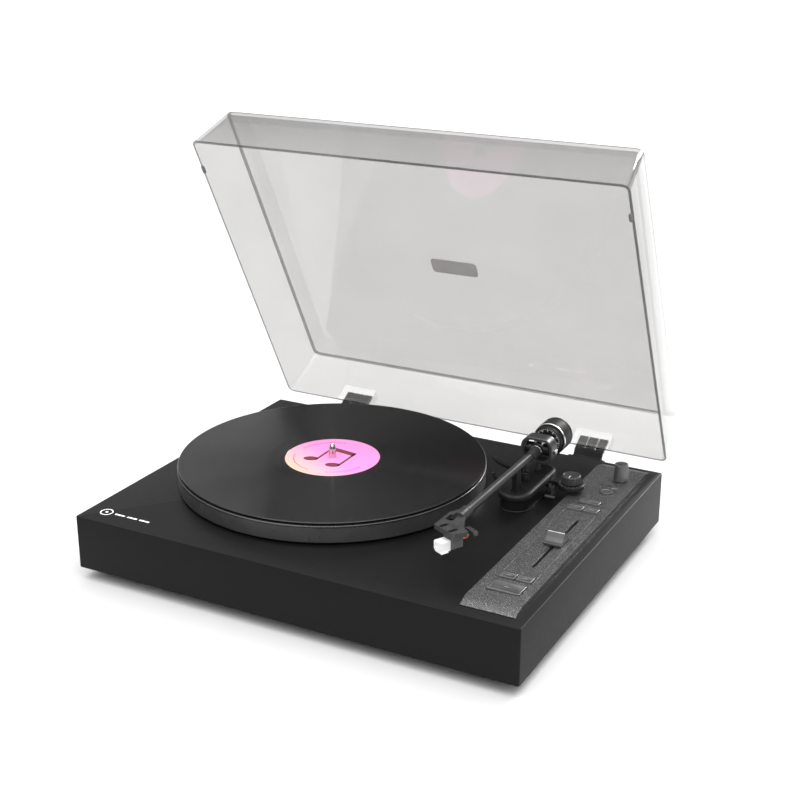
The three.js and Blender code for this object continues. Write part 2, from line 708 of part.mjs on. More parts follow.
const arc = new THREE.Shape();
arc.absarc(ARM.x, ARM.y, LIFT.r + LIFT.half, rad(LIFT.to), rad(LIFT.from), false);
arc.absarc(ARM.x, ARM.y, LIFT.r - LIFT.half, rad(LIFT.from), rad(LIFT.to), true);
const armLow = LIFT.top - LIFT.t;
add(
  'arm_lift',
  join(
    solid(slab(arc, armLow, LIFT.top, 0, 14)),
    box(LIFT.x - 2, LIFT.x + 2, ARM.y - LIFT.r, LIFT.y + 1.2, armLow, LIFT.top - 1.6),
    rodZ(LIFT.rodR, LIFT.x, LIFT.y, LIFT.rodBottom, armLow + 1, TINY),
    rodZ(GUIDE.capR, LIFT.x, LIFT.y, GUIDE.capZ0, GUIDE.capZ1, SMALL, 0.5),
  ),
  'black',
);

// The rest is a pillar under the tube, with a shallow cradle. Its clip is hinged low on the platter side.
const restX = ARM.x;
const cradle = rodY(ARM.r + GAP, restX, ARM.z, REST.y0 - 1, REST.y1 + 1, MEDIUM);
const clipX = restX + CLIP.x;
const ear = (y0, y1) => box(clipX - 1.6, restX - REST.half + 0.5, y0, y1, CLIP.z - 1.8, CLIP.z + 1.8);
add(
  'arm_rest',
  cut(
    join(
      box(restX - REST.half, restX + REST.half, REST.y0, REST.y1, BASE.top + GAP, ARM.z - ARM.r + 0.6),
      ear(CLIP.y0 - 1.6, CLIP.y0 - GAP),
      ear(CLIP.y1 + GAP, CLIP.y1 + 1.6),
      rodY(CLIP.pinR, clipX, CLIP.z, CLIP.y0 - 1, CLIP.y1 + 1, TINY),
    ),
    cradle,
  ),
  'black',
);

// The shut clip stays clear of the tube even when the lift has raised it.
const strapZ = ARM.z + ARM.r + CLIP.clear;
const clipSection = polygon([
  [clipX - 1.4, CLIP.z],
  [clipX + 0.4, CLIP.z],
  [clipX + 0.4, strapZ],
  [restX + CLIP.reach, strapZ],
  [restX + CLIP.reach, strapZ + CLIP.t],
  [clipX - 1.4, strapZ + CLIP.t],
]);
const clipShut = cut(
  join(
    solid(slabY(clipSection, CLIP.y0, CLIP.y1)),
    rodY(CLIP.barrelR, clipX, CLIP.z, CLIP.y0, CLIP.y1, SMALL),
  ),
  rodY(CLIP.bore, clipX, CLIP.z, CLIP.y0 - 1, CLIP.y1 + 1, SMALL),
);
add('rest_clip', swing(clipShut, 'y', -CLIP.open, CLIP.y0, CLIP.z, clipX), 'black');

// ---------------------------------------------------------------- gimbal and arm
const ringShape = (hx, hz, r) => roundRect(ARM.x - hx, ARM.x + hx, ARM.z - hz, ARM.z + hz, r);
const ringBody = cut(
  solid(slabY(ringShape(RING.hx, RING.hz, RING.corner), RING.y0, RING.y1, 0.8, 8)),
  solid(slabY(ringShape(RING.ix, RING.iz, RING.iCorner), RING.y0 - 1, RING.y1 + 1, 0, 6)),
);
add(
  'gimbal_ring',
  cut(
    join(
      ringBody,
      rodZ(YAW.r, ARM.x, ARM.y, YAW.bottom, ARM.z - RING.iz - 1, SMALL),
    ),
    rodX(SCREW.r + GAP, ARM.y, ARM.z, ARM.x - 25, ARM.x - BLOCK.lugX),
    rodX(SCREW.r + GAP, ARM.y, ARM.z, ARM.x + BLOCK.lugX, ARM.x + 25),
  ),
  'grey',
);

// A sleeve on the tube that flares to a collar, and the block behind it.
const sleeveTurned = turned(
  [
    [0, BLOCK.sleeveY],
    [ARM.r + 0.8, BLOCK.sleeveY],
    [BLOCK.collarR - 0.6, BLOCK.collarY - 1],
    [BLOCK.collarR, BLOCK.collarY],
    [BLOCK.collarR, BLOCK.y0],
    [BLOCK.r, BLOCK.y0],
    [BLOCK.r, BLOCK.y1],
    [0, BLOCK.y1],
  ],
  0,
  0,
);
sleeveTurned.rotateX(-Math.PI / 2);
sleeveTurned.translate(ARM.x, 0, ARM.z);
const sleeve = solid(sleeveTurned);
add(
  'pivot_block',
  cut(
    join(
      sleeve,
      rodX(BLOCK.lugR, ARM.y, ARM.z, ARM.x - BLOCK.lugX, ARM.x + BLOCK.lugX, SMALL, 0.5),
    ),
    rodY(ARM.r + GAP, ARM.x, ARM.z, BLOCK.sleeveY - 1, BLOCK.y1 + 1),
    rodX(SCREW.r + GAP, ARM.y, ARM.z, ARM.x - 25, ARM.x - BLOCK.pocket),
    rodX(SCREW.r + GAP, ARM.y, ARM.z, ARM.x + BLOCK.pocket, ARM.x + 25),
  ),
  'black',
);

for (const [name, side] of [['pivot_screw_l', -1], ['pivot_screw_r', 1]]) {
  const span = (a, b) => [ARM.x + Math.min(side * a, side * b), ARM.x + Math.max(side * a, side * b)];
  const screw = join(
    rodX(SCREW.r, ARM.y, ARM.z, ...span(SCREW.in, SCREW.head + 0.5), SMALL),
    rodX(SCREW.headR, ARM.y, ARM.z, ...span(SCREW.head, SCREW.out), SMALL, 0.3),
  );
  const slit = box(...span(SCREW.out - 0.6, SCREW.out + 1), ARM.y - 3, ARM.y + 3, ARM.z - 0.4, ARM.z + 0.4);
  add(name, cut(screw, slit), 'steel');
}

add(
  'arm_tube',
  join(
    rodY(ARM.r, ARM.x, ARM.z, ARM.front, ARM.stubFrom + 1, 28, 0.4),
    rodY(ARM.stubR, ARM.x, ARM.z, ARM.stubFrom, ARM.rear, 28, 0.6),
  ),
  'grey',
);
add('dial_ring', rodY(DIAL.r, ARM.x, ARM.z, DIAL.y0, DIAL.y1, 40, 0.7, WEIGHT.bore), 'black');
add('counterweight', rodY(WEIGHT.r, ARM.x, ARM.z, WEIGHT.y0, WEIGHT.y1, 40, 1, WEIGHT.bore), 'weight');

// ---------------------------------------------------------------- headshell and cartridge
const offset = rad(SHELL.offset);
const forward = [-Math.sin(offset), -Math.cos(offset)];
const right = [Math.cos(offset), -Math.sin(offset)];
const at = (u, v) => [
  SHELL.x + u * forward[0] + v * right[0],
  SHELL.y + u * forward[1] + v * right[1],
];
// A polygon given by (u, v) corners, pulled up from z0 to z1.
const offsetSlab = (corners, z0, z1, bevel = 0) =>
  solid(slab(polygon(corners.map(([u, v]) => at(u, v))), z0, z1, bevel));
const offsetBox = (u0, u1, v0, v1, z0, z1, bevel = 0) =>
  offsetSlab([[u0, v0], [u1, v0], [u1, v1], [u0, v1]], z0, z1, bevel);

const platePoints = [
  [116.7, -114.8],
  [139.9, -126.4],
  [149.4, -114.9],
  [141.4, -108.4],
  [132.4, -84.4],
  [131.8, -78],
  [122.6, -78],
  [117.6, -86.2],
];
const windowPoints = [[120.4, -101.7], [126.4, -101.8], [128.2, -98.6], [126.4, -89.6], [120.4, -91]];
const slotAlong = (u, v) =>
  offsetBox(
    u - SHELL.slotLength / 2,
    u + SHELL.slotLength / 2,
    v - SHELL.slotHalf,
    v + SHELL.slotHalf,
    SHELL.bottom - 1,
    SHELL.top + 1,
  );
add(
  'headshell',
  cut(
    join(
      solid(slab(polygon(platePoints), SHELL.bottom, SHELL.top, 0.6)),
      rodY(SHELL.neckR, ARM.x, ARM.z, SHELL.neckFront, SHELL.neckRear, 28, 0.6),
    ),
    rodY(ARM.r + GAP, ARM.x, ARM.z, ARM.front - GAP, 0),
    solid(slab(polygon(windowPoints), SHELL.bottom - 4, SHELL.top + 4)),
    slotAlong(-5.6, -6.35),
    slotAlong(-5.6, 6.35),
  ),
  'grey',
);

// The finger lift leaves the shell's right side a little ahead of square and turns down at its tip.
const liftStart = [135.2, -98.6];
const liftTurn = -30;
const lifter = solid(
  slabY(
    polygon([
      [0, 36.4],
      [6.6, 36.4],
      [9.2, 39.2],
      [19.6, 39.2],
      [21.4, 36.9],
      [22.6, 37.6],
      [20.4, 40.4],
      [8.6, 40.4],
      [6, 37.5],
      [0, 37.5],
    ]),
    -2.2,
    2.2,
  ),
);
add('finger_lift', lifter.rotate([0, 0, liftTurn]).translate([...liftStart, 0]), 'grey');

add(
  'cartridge',
  join(
    offsetBox(CARTRIDGE.u0, CARTRIDGE.u1, -CARTRIDGE.v, CARTRIDGE.v, CARTRIDGE.z0, CARTRIDGE.z1, 0.5),
    offsetBox(
      CARTRIDGE.flangeU0,
      CARTRIDGE.flangeU1,
      -CARTRIDGE.flangeV,
      CARTRIDGE.flangeV,
      CARTRIDGE.z1 - 0.5,
      SHELL.bottom - GAP,
    ),
  ),
  'black',
);

const needleFrom = at(CARTRIDGE.u1 + GAP, 0);
const needleTo = at(NEEDLE.u1, 0);
add(
  'stylus',
  join(
    wire([[...needleFrom, NEEDLE.z + 1], [...at(-1, 0), NEEDLE.z + 0.4], [...needleTo, NEEDLE.z]], NEEDLE.r, 4),
    rodZ(0.5, ...at(NEEDLE.u1 - 0.8, 0), NEEDLE.tipZ, NEEDLE.z + 0.2, TINY),
  ),
  'steel',
);
const inner = GUARD.v - GUARD.wall;
add(
  'stylus_guard',
  cut(
    offsetBox(GUARD.u0, GUARD.u1, -GUARD.v, GUARD.v, GUARD.z0, GUARD.z1, 0.6),
    offsetBox(GUARD.u0 - 1, GUARD.u1 - GUARD.wall, -inner, inner, GUARD.z0 + 1, GUARD.z1 - GUARD.wall),
  ),
  'white',
);
for (const [name, [v, z, bow]] of Object.entries(LEADS)) {
  const u = CARTRIDGE.u0 - 0.5;
  const finish = name.slice('lead_'.length);
  const loop = [
    [...at(u, v), z],
    [...at(u - 2.6, v + bow), z - 0.2],
    [...at(u - 4.6, v + bow * 2), z + 2],
    [...at(u - 3.9, v + bow), 34.2],
    [...at(u - 1.2, v), 36.6],
  ];
  add(name, wire(loop, 0.5, 9), finish);
}

// ---------------------------------------------------------------- hinges
const hingeSection = polygon([
  [rear + GAP, -44],
  [rear + 3.3, -44],
  [rear + 3.3, -2.2],
  [rear + GAP, -2.2],
]);
const cheek = new THREE.Shape();
cheek.moveTo(rear + 3, -32);
cheek.lineTo(HINGE.y, HINGE.z - HINGE.earR);
cheek.absarc(HINGE.y, HINGE.z, HINGE.earR, -Math.PI / 2, Math.PI / 2);
cheek.lineTo(rear + 3, -4);

function hingeParts(cx) {
  const bracket = join(
    solid(slabX(hingeSection, cx - HINGE.half, cx + HINGE.half)),
    solid(slabX(cheek, cx - HINGE.half, cx - HINGE.half + HINGE.earT, 0, 8)),
    solid(slabX(cheek, cx + HINGE.half - HINGE.earT, cx + HINGE.half, 0, 8)),
    rodX(HINGE.pinR, HINGE.y, HINGE.z, cx - HINGE.half + 1, cx + HINGE.half - 1),
  );
  const tongue = polygon([
    [182.7, HINGE.z],
    [182.7, -3.6],
    [179.5, 0.6],
    [179.5, 19.6],
    [182.5, 19.6],
    [182.5, 1.9],
    [186.4, -3.2],
    [190.6, HINGE.z],
  ]);
  const arm = cut(
    join(
      rodX(HINGE.barrelR, HINGE.y, HINGE.z, cx - HINGE.armHalf, cx + HINGE.armHalf, 24),
      solid(slabX(tongue, cx - HINGE.armHalf, cx + HINGE.armHalf)),
    ),
    rodX(HINGE.pinR + GAP, HINGE.y, HINGE.z, cx - HINGE.half - 1, cx + HINGE.half + 1),
    box(cx - 6.4, cx - 4.8, 170, 200, 3.4, 30),
    box(cx + 4.8, cx + 6.4, 170, 200, 3.4, 30),
  );
  return [bracket, arm];
}

const swingOpen = (part) => swing(part, 'x', -LID.open, HINGE.y, HINGE.z);
for (const [side, cx] of [['l', -HINGE.x], ['r', HINGE.x]]) {
  const [bracket, arm] = hingeParts(cx);
  add(`hinge_bracket_${side}`, bracket, 'black');
  add(`hinge_arm_${side}`, swingOpen(arm), 'black');
}

// ---------------------------------------------------------------- dust cover
const lidW = LID.w / 2;
const lidD = LID.d / 2;
const lidTop = LID.rim + LID.h;
const lidSection = (z, inset, corner) => {
  const k = (z - LID.rim) / LID.h;
  const x = lidW - LID.inX * k - inset;
  return [z, -x, x, -lidD + LID.inFront * k + inset, lidD - LID.inRear * k - inset, corner];
};
const lidOuter = stack([
  lidSection(LID.rim, 0, LID.corner),
  lidSection(lidTop - 3, 0, LID.corner),
  lidSection(lidTop - 1, 0.9, LID.corner),
  lidSection(lidTop, 3, LID.corner),
]);
const lidInner = stack([
  lidSection(LID.rim - 1, LID.wall, LID.corner - 2.4),
  lidSection(lidTop - LID.wall, LID.wall, LID.corner - 2.4),
]);
const sockets = [];
const pockets = [];
for (const cx of [-HINGE.x, HINGE.x]) {
  sockets.push(box(cx - SOCKET.half, cx + SOCKET.half, SOCKET.y0, SOCKET.y1, SOCKET.z0, SOCKET.z1));
  pockets.push(
    box(cx - SOCKET.pocketHalf, cx + SOCKET.pocketHalf, SOCKET.py0, SOCKET.py1, SOCKET.z0 - 1, SOCKET.pz1),
  );
}
const lidShell = cut(join(cut(lidOuter, lidInner), ...sockets), ...pockets);
add('dust_cover', swingOpen(lidShell), 'clear');

for (const [name, side] of [['bumper_l', -1], ['bumper_r', 1]]) {
  const cx = side * BUMPER.x;
  const pad = roundRect(
    cx - BUMPER.w / 2,
    cx + BUMPER.w / 2,
    BUMPER.y - BUMPER.len / 2,
    BUMPER.y + BUMPER.len / 2,
    BUMPER.w / 2,
  );
  add(name, swingOpen(solid(slab(pad, BUMPER.z0, BUMPER.z1, 0, 4))), 'rubber');
}
const plaque = roundRect(
  BADGE.x - BADGE.w / 2,
  BADGE.x + BADGE.w / 2,
  BADGE.y - BADGE.d / 2,
  BADGE.y + BADGE.d / 2,
  BADGE.corner,
);
add('badge', swingOpen(solid(slab(plaque, lidTop + GAP, lidTop + GAP + BADGE.t, 0.25, 5))), 'badge');

// ---------------------------------------------------------------- rear sockets
const face = rear + GAP;
const barrels = [];
const bores = [];
for (const side of [-1, 1]) {
  const cx = AUDIO.x + (side * AUDIO.pitch) / 2;
  barrels.push(rodY(AUDIO.r, cx, AUDIO.z, face + 1, face + 11.5, SMALL, 0.4));
  bores.push(rodY(AUDIO.bore, cx, AUDIO.z, face + 4, face + 13));
}
add(
  'audio_sockets',
  cut(
    join(
      box(AUDIO.x - AUDIO.w / 2, AUDIO.x + AUDIO.w / 2, face, face + 2, AUDIO.z - 11, AUDIO.z + 11),
      box(AUDIO.x - 31.5, AUDIO.x + 31.5, inD - 8, face + 1, AUDIO.z - 8.6, AUDIO.z + 8.6),
      ...barrels,
    ),
    ...bores,
  ),
  'black',
);
add(
  'line_switch',
  join(
    box(SWITCH.x - 9, SWITCH.x + 9, inD - 3, inD - GAP, SWITCH.z - 5, SWITCH.z + 5),
    box(
      SWITCH.x - SWITCH.lever / 2,
      SWITCH.x + SWITCH.lever / 2,
      inD - 1,
      rear + 2.5,
      SWITCH.z - SWITCH.lever / 2,
      SWITCH.z + SWITCH.lever / 2,
    ),
  ),
  'white',
);
add(
  'power_inlet',
  join(
    cut(
      join(
        rodY(INLET.flangeR, INLET.x, INLET.z, face, face + 2, 28, 0.4),
        rodY(INLET.r, INLET.x, INLET.z, inD - 8, face + 1, 28),
      ),
      rodY(INLET.bore, INLET.x, INLET.z, inD - 5, rear + 5),
    ),
    rodY(INLET.pinR, INLET.x, INLET.z, inD - 6, rear - 1, TINY),
  ),
  'black',
);
add(
  'ground_screw',
  join(
    rodY(GROUND.r, GROUND.x, GROUND.z, face + 0.5, face + 8, 24, 0.6),
    rodY(GROUND.shaftR, GROUND.x, GROUND.z, inD - 6, face + 1),
  ),
  'steel',
);

// ---------------------------------------------------------------- origin
const bounds = new THREE.Box3().setFromObject(turntable);
const middle = bounds.getCenter(new THREE.Vector3());
for (const piece of turntable.children) {
  piece.geometry.translate(-middle.x, -middle.y, -bounds.min.z);
}

export default turntable;
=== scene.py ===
import json
from math import atan2, cos, pi, radians, sin, tan

import bmesh
import bpy
from mathutils import Matrix, Vector


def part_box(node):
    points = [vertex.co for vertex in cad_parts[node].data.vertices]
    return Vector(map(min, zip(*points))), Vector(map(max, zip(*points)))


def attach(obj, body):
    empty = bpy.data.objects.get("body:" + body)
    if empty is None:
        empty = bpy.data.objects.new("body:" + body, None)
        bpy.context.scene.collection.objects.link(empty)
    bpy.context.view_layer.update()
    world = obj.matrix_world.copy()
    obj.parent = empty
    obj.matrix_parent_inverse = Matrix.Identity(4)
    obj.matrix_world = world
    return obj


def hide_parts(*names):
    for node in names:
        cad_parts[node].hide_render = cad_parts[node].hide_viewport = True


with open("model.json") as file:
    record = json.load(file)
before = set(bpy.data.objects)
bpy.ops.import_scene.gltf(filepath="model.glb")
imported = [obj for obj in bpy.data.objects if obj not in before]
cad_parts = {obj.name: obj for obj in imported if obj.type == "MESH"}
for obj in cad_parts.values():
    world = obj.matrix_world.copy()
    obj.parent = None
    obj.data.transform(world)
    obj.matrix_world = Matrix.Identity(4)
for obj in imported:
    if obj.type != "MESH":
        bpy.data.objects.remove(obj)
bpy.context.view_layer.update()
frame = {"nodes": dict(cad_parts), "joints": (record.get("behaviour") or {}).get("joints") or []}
scene = bpy.context.scene
nodes = frame["nodes"]

# Lengths below are millimetres from the middle of the plinth's top, +X right, +Y back, +Z up.
MM = 0.001
low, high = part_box("plinth")
DECK = Vector(((low.x + high.x) / 2, (low.y + high.y) / 2, high.z))
TO_ROW = Matrix.Translation(DECK) @ Matrix.Scale(MM, 4)

joints = {j["name"]: j for j in frame["joints"]}
HINGE = (Vector(joints["cover_hinge"]["pos_m"]) - DECK) / MM
OPEN = -joints["cover_hinge"]["range_deg"][0]
SPIN = Vector((-58.9, 12.4))
# The arm's pivot, the base's two end centres, the lift guide and the base's side lobe.
ARM_X, ARM_Y, ARM_Z = 128.2, 87.7, 40
BASE_X, BASE_Y0, BASE_Y1 = 127.2, 36, 92
GUIDE_X, GUIDE_Y = 125.8, 59.7
LOBE_X, LOBE_Y = 164.7, 82.4
ARM = Vector((ARM_X, ARM_Y, ARM_Z))


# ------------------------------------------------------------------ outlines
def fillet(points, radius=0.0, steps=4, closed=True):
    """The outline with its corners rounded. A point's third number is its own radius."""
    out = []
    n = len(points)
    for i, point in enumerate(points):
        r = point[2] if len(point) > 2 else radius
        p = Vector(point[:2])
        a = Vector(points[i - 1][:2]) - p
        b = Vector(points[(i + 1) % n][:2]) - p
        ends = not closed and i in (0, n - 1)
        if ends or r <= 0 or a.length < 1e-6 or b.length < 1e-6:
            out.append(p)
            continue
        room = min(a.length, b.length) * 0.49
        a.normalize()
        b.normalize()
        half = a.angle(b) / 2
        if half > pi / 2 - 0.01 or half < 0.01:
            out.append(p)
            continue
        cut = min(r / tan(half), room)
        r = cut * tan(half)
        centre = p + (a + b).normalized() * (r / sin(half))
        first = p + a * cut - centre
        last = p + b * cut - centre
        start = atan2(first.y, first.x)
        turn = (atan2(last.y, last.x) - start + pi) % (2 * pi) - pi
        for k in range(steps + 1):
            t = start + turn * k / steps
            out.append(centre + Vector((cos(t), sin(t))) * r)
    return out


def rect(x0, x1, y0, y1, r=0.0, steps=5):
    return fillet([(x0, y0), (x1, y0), (x1, y1), (x0, y1)], r, steps)


def circle(x, y, r, steps=48):
    return [Vector((x + r * cos(2 * pi * k / steps), y + r * sin(2 * pi * k / steps))) for k in range(steps)]


def stadium(x, y0, y1, r, steps=20):
    right = [Vector((x + r * cos(pi * k / steps), y1 + r * sin(pi * k / steps))) for k in range(steps + 1)]
    left = [Vector((x - r * cos(pi * k / steps), y0 - r * sin(pi * k / steps))) for k in range(steps + 1)]
    return right + left


# ------------------------------------------------------------------ solids, as bmesh
X_WAY = Matrix(((0, 0, 1, 0), (1, 0, 0, 0), (0, 1, 0, 0), (0, 0, 0, 1)))
Y_WAY = Matrix(((1, 0, 0, 0), (0, 0, 1, 0), (0, 1, 0, 0), (0, 0, 0, 1)))


def prism(outline, z0, z1, holes=(), way=None):
    """A flat outline, with holes, pulled from z0 to z1. way turns it to run along X or Y."""
    bm = bmesh.new()
    edges = []
    for loop in (outline, *holes):
        verts = [bm.verts.new((p[0], p[1], z0)) for p in loop]
        edges += [bm.edges.new((verts[i - 1], verts[i])) for i in range(len(verts))]
    if holes:
        bmesh.ops.triangle_fill(bm, edges=edges, use_beauty=True)
    else:
        bm.faces.new(list(bm.verts))
    made = bmesh.ops.extrude_face_region(bm, geom=list(bm.faces))["geom"]
    for v in made:
        if isinstance(v, bmesh.types.BMVert):
            v.co.z = z1
    if way:
        bm.transform(way)
    bmesh.ops.recalc_face_normals(bm, faces=bm.faces)
    return bm


def lathe(profile, x=0.0, y=0.0, steps=64, way=None):
    """A profile of (radius, height) points turned about a line. It ends on the line, or on itself."""
    bm = bmesh.new()
    loop = (Vector(profile[0][:2]) - Vector(profile[-1][:2])).length < 1e-6
    rings = []
    for p in profile[:-1] if loop else profile:
        if abs(p[0]) < 1e-6:
            rings.append([bm.verts.new((0, 0, p[1]))])
        else:
            ring = [
                (p[0] * cos(2 * pi * k / steps), p[0] * sin(2 * pi * k / steps), p[1])
                for k in range(steps)
            ]
            rings.append([bm.verts.new(q) for q in ring])
    if loop:
        rings.append(rings[0])
    for a, b in zip(rings, rings[1:]):
        for k in range(steps):
            j = (k + 1) % steps
            corners = [a[k % len(a)], a[j % len(a)], b[j % len(b)], b[k % len(b)]]
            corners = list(dict.fromkeys(corners))
            if len(corners) > 2:
                bm.faces.new(corners)
    if way:
        bm.transform(way)
    bm.transform(Matrix.Translation((x, y, 0)))
    bmesh.ops.recalc_face_normals(bm, faces=bm.faces)
    return bm


SPIN_Y = Matrix.Rotation(-pi / 2, 4, "X")
SPIN_X = Matrix.Rotation(pi / 2, 4, "Y")


def rod(r, a, b, edge=0.0, bore=0.0, steps=48, way=None, at=(0, 0, 0)):
    """A round bar or ring from a to b with rounded ends."""
    if bore:
        corners = [(bore, a), (r, a, edge), (r, b, edge), (bore, b)]
        profile = fillet(corners, min(edge, 0.3), 3)
        profile.append(profile[0])
    else:
        profile = fillet([(0, a), (r, a, edge), (r, b, edge), (0, b)], 0, 3, closed=False)
    bm = lathe(profile, steps=steps, way=way)
    bm.transform(Matrix.Translation(at))
    return bm


def sweep(path, r, steps=12, flat=None, caps=True):
    """A round wire along a smooth path through points; flat gives a (width, height) strip instead."""
    points = [Vector(p) for p in path]
    line = []
    for i in range(len(points) - 1):
        p0 = points[max(i - 1, 0)]
        p1, p2 = points[i], points[i + 1]
        p3 = points[min(i + 2, len(points) - 1)]
        for k in range(8):
            t = k / 8
            line.append(
                0.5 * (2 * p1 + (p2 - p0) * t + (2 * p0 - 5 * p1 + 4 * p2 - p3) * t * t
                       + (3 * p1 - p0 - 3 * p2 + p3) * t ** 3)
            )
    line.append(points[-1])
    if flat:
        w, h = flat[0] / 2, flat[1] / 2
        section = rect(-w, w, -h, h, min(w, h) * 0.6, 3)
    else:
        section = circle(0, 0, r, steps)
    bm = bmesh.new()
    rings = []
    side = None
    for i, p in enumerate(line):
        along = (line[min(i + 1, len(line) - 1)] - line[max(i - 1, 0)]).normalized()
        if side is None:
            side = along.cross(Vector((0, 0, 1)))
            if side.length < 0.1:
                side = along.cross(Vector((0, 1, 0)))
        side = (side - along * side.dot(along)).normalized()
        up = side.cross(along)
        rings.append([bm.verts.new(p + side * s.x + up * s.y) for s in section])
    n = len(section)
    for a, b in zip(rings, rings[1:]):
        for k in range(n):
            bm.faces.new((a[k], a[(k + 1) % n], b[(k + 1) % n], b[k]))
    if caps:
        bm.faces.new(rings[0])
        bm.faces.new(rings[-1])
    bmesh.ops.recalc_face_normals(bm, faces=bm.faces)
    return bm


def stack(sections):
    """A body skinned over outlines of equal length, each at its own height."""
    bm = bmesh.new()
    rings = [[bm.verts.new((p[0], p[1], z)) for p in outline] for z, outline in sections]
    n = len(rings[0])
    for a, b in zip(rings, rings[1:]):
        for k in range(n):
            bm.faces.new((a[k], a[(k + 1) % n], b[(k + 1) % n], b[k]))
    bm.faces.new(rings[0])
    bm.faces.new(rings[-1])
    bmesh.ops.recalc_face_normals(bm, faces=bm.faces)
    return bm


def merged(*parts):
    """Several bmeshes as one, left as they are."""
    bm = bmesh.new()
    for part in parts:
        mesh = bpy.data.meshes.new("part")
        part.to_mesh(mesh)
        part.free()
        bm.from_mesh(mesh)
        bpy.data.meshes.remove(mesh)
    return bm


def turned(angle, axis, at):
    """A turn in degrees about a line along an axis through a point."""
    at = Vector(at)
    return Matrix.Translation(at) @ Matrix.Rotation(radians(angle), 4, axis) @ Matrix.Translation(-at)


def temporary(bm):
    mesh = bpy.data.meshes.new("temporary")
    bm.to_mesh(mesh)
    bm.free()
    obj = bpy.data.objects.new("temporary", mesh)
    scene.collection.objects.link(obj)
    return obj


def boolean(bm, operation, *tools):
    """bm with the tools joined to it or cut from it."""
    obj = temporary(bm)
    helpers = []
    for tool in tools:
        helper = temporary(tool)
        helpers.append(helper)
        mod = obj.modifiers.new("cut", "BOOLEAN")
        mod.operation = operation
        mod.solver = "EXACT"
        mod.object = helper
    bpy.context.view_layer.update()
    result = bpy.data.meshes.new_from_object(obj.evaluated_get(bpy.context.evaluated_depsgraph_get()))
    out = bmesh.new()
    out.from_mesh(result)
    for o in (obj, *helpers):
        old = o.data
        bpy.data.objects.remove(o)
        bpy.data.meshes.remove(old)
    bpy.data.meshes.remove(result)
    bmesh.ops.remove_doubles(out, verts=out.verts, dist=1e-4)
    bmesh.ops.dissolve_limit(out, angle_limit=radians(0.5), verts=out.verts, edges=out.edges)
    return out


def cut(bm, *tools):
    return boolean(bm, "DIFFERENCE", *tools)


def join(bm, *tools):
    return boolean(bm, "UNION", *tools)


def piece(name, bm, body, material, stands_for=(), slot="black", bevel=0.0, segments=2, sharp=35.0):
    """Puts a bmesh in the scene as a piece of the object."""
    mesh = bpy.data.meshes.new(name)
    bm.to_mesh(mesh)
    bm.free()
    mesh.transform(TO_ROW)
    mesh.update()
    obj = bpy.data.objects.new(name, mesh)
    scene.collection.objects.link(obj)
    mesh.materials.append(material)
    mesh.shade_smooth()
    if bevel:
        mod = obj.modifiers.new("edge", "BEVEL")
        mod.width = bevel * MM
        mod.segments = segments
        mod.limit_method = "ANGLE"
        mod.angle_limit = radians(30)
        mod.use_clamp_overlap = True
        mod.harden_normals = False
        weighted = obj.modifiers.new("normals", "WEIGHTED_NORMAL")
        weighted.keep_sharp = True
    else:
        mesh.set_sharp_from_angle(angle=radians(sharp))
    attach(obj, body)
    if stands_for:
        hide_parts(*stands_for)
    return obj


# ------------------------------------------------------------------ materials
def new_material(name):
    material = bpy.data.materials.new(name)
    material.use_nodes = True
    tree = material.node_tree
    return material, tree, tree.nodes["Principled BSDF"]


def node(tree, kind, **settings):
    made = tree.nodes.new(kind)
    for key, value in settings.items():
        if hasattr(made, key):
            setattr(made, key, value)
        else:
            made.inputs[key.replace("_", " ")].default_value = value
    return made


def noise(tree, where, scale, detail=3.0, rough=0.5, squeeze=None):
    source = where.outputs["Object"]
    if squeeze:
        mapping = node(tree, "ShaderNodeMapping", Scale=squeeze)
        tree.links.new(source, mapping.inputs["Vector"])
        source = mapping.outputs["Vector"]
    made = node(tree, "ShaderNodeTexNoise", Scale=scale, Detail=detail, Roughness=rough)
    tree.links.new(source, made.inputs["Vector"])
    return made.outputs["Fac"]


def spread(tree, value, low_in, high_in, low_out, high_out):
    made = node(tree, "ShaderNodeMapRange")
    tree.links.new(value, made.inputs["Value"])
    for key, number in zip(
        ("From Min", "From Max", "To Min", "To Max"), (low_in, high_in, low_out, high_out)
    ):
        made.inputs[key].default_value = number
    return made.outputs["Result"]


def blend_colour(tree, factor, a, b):
    """Mixes two colours by a factor; either colour may be a socket."""
    made = node(tree, "ShaderNodeMix", data_type="RGBA")
    tree.links.new(factor, made.inputs[0])
    for key, value in ((6, a), (7, b)):
        if isinstance(value, (tuple, list)):
            made.inputs[key].default_value = (*value[:3], 1)
        else:
            tree.links.new(value, made.inputs[key])
    return made.outputs[2]


def shade(colour, k):
    return tuple(min(1.0, c * k) for c in colour)


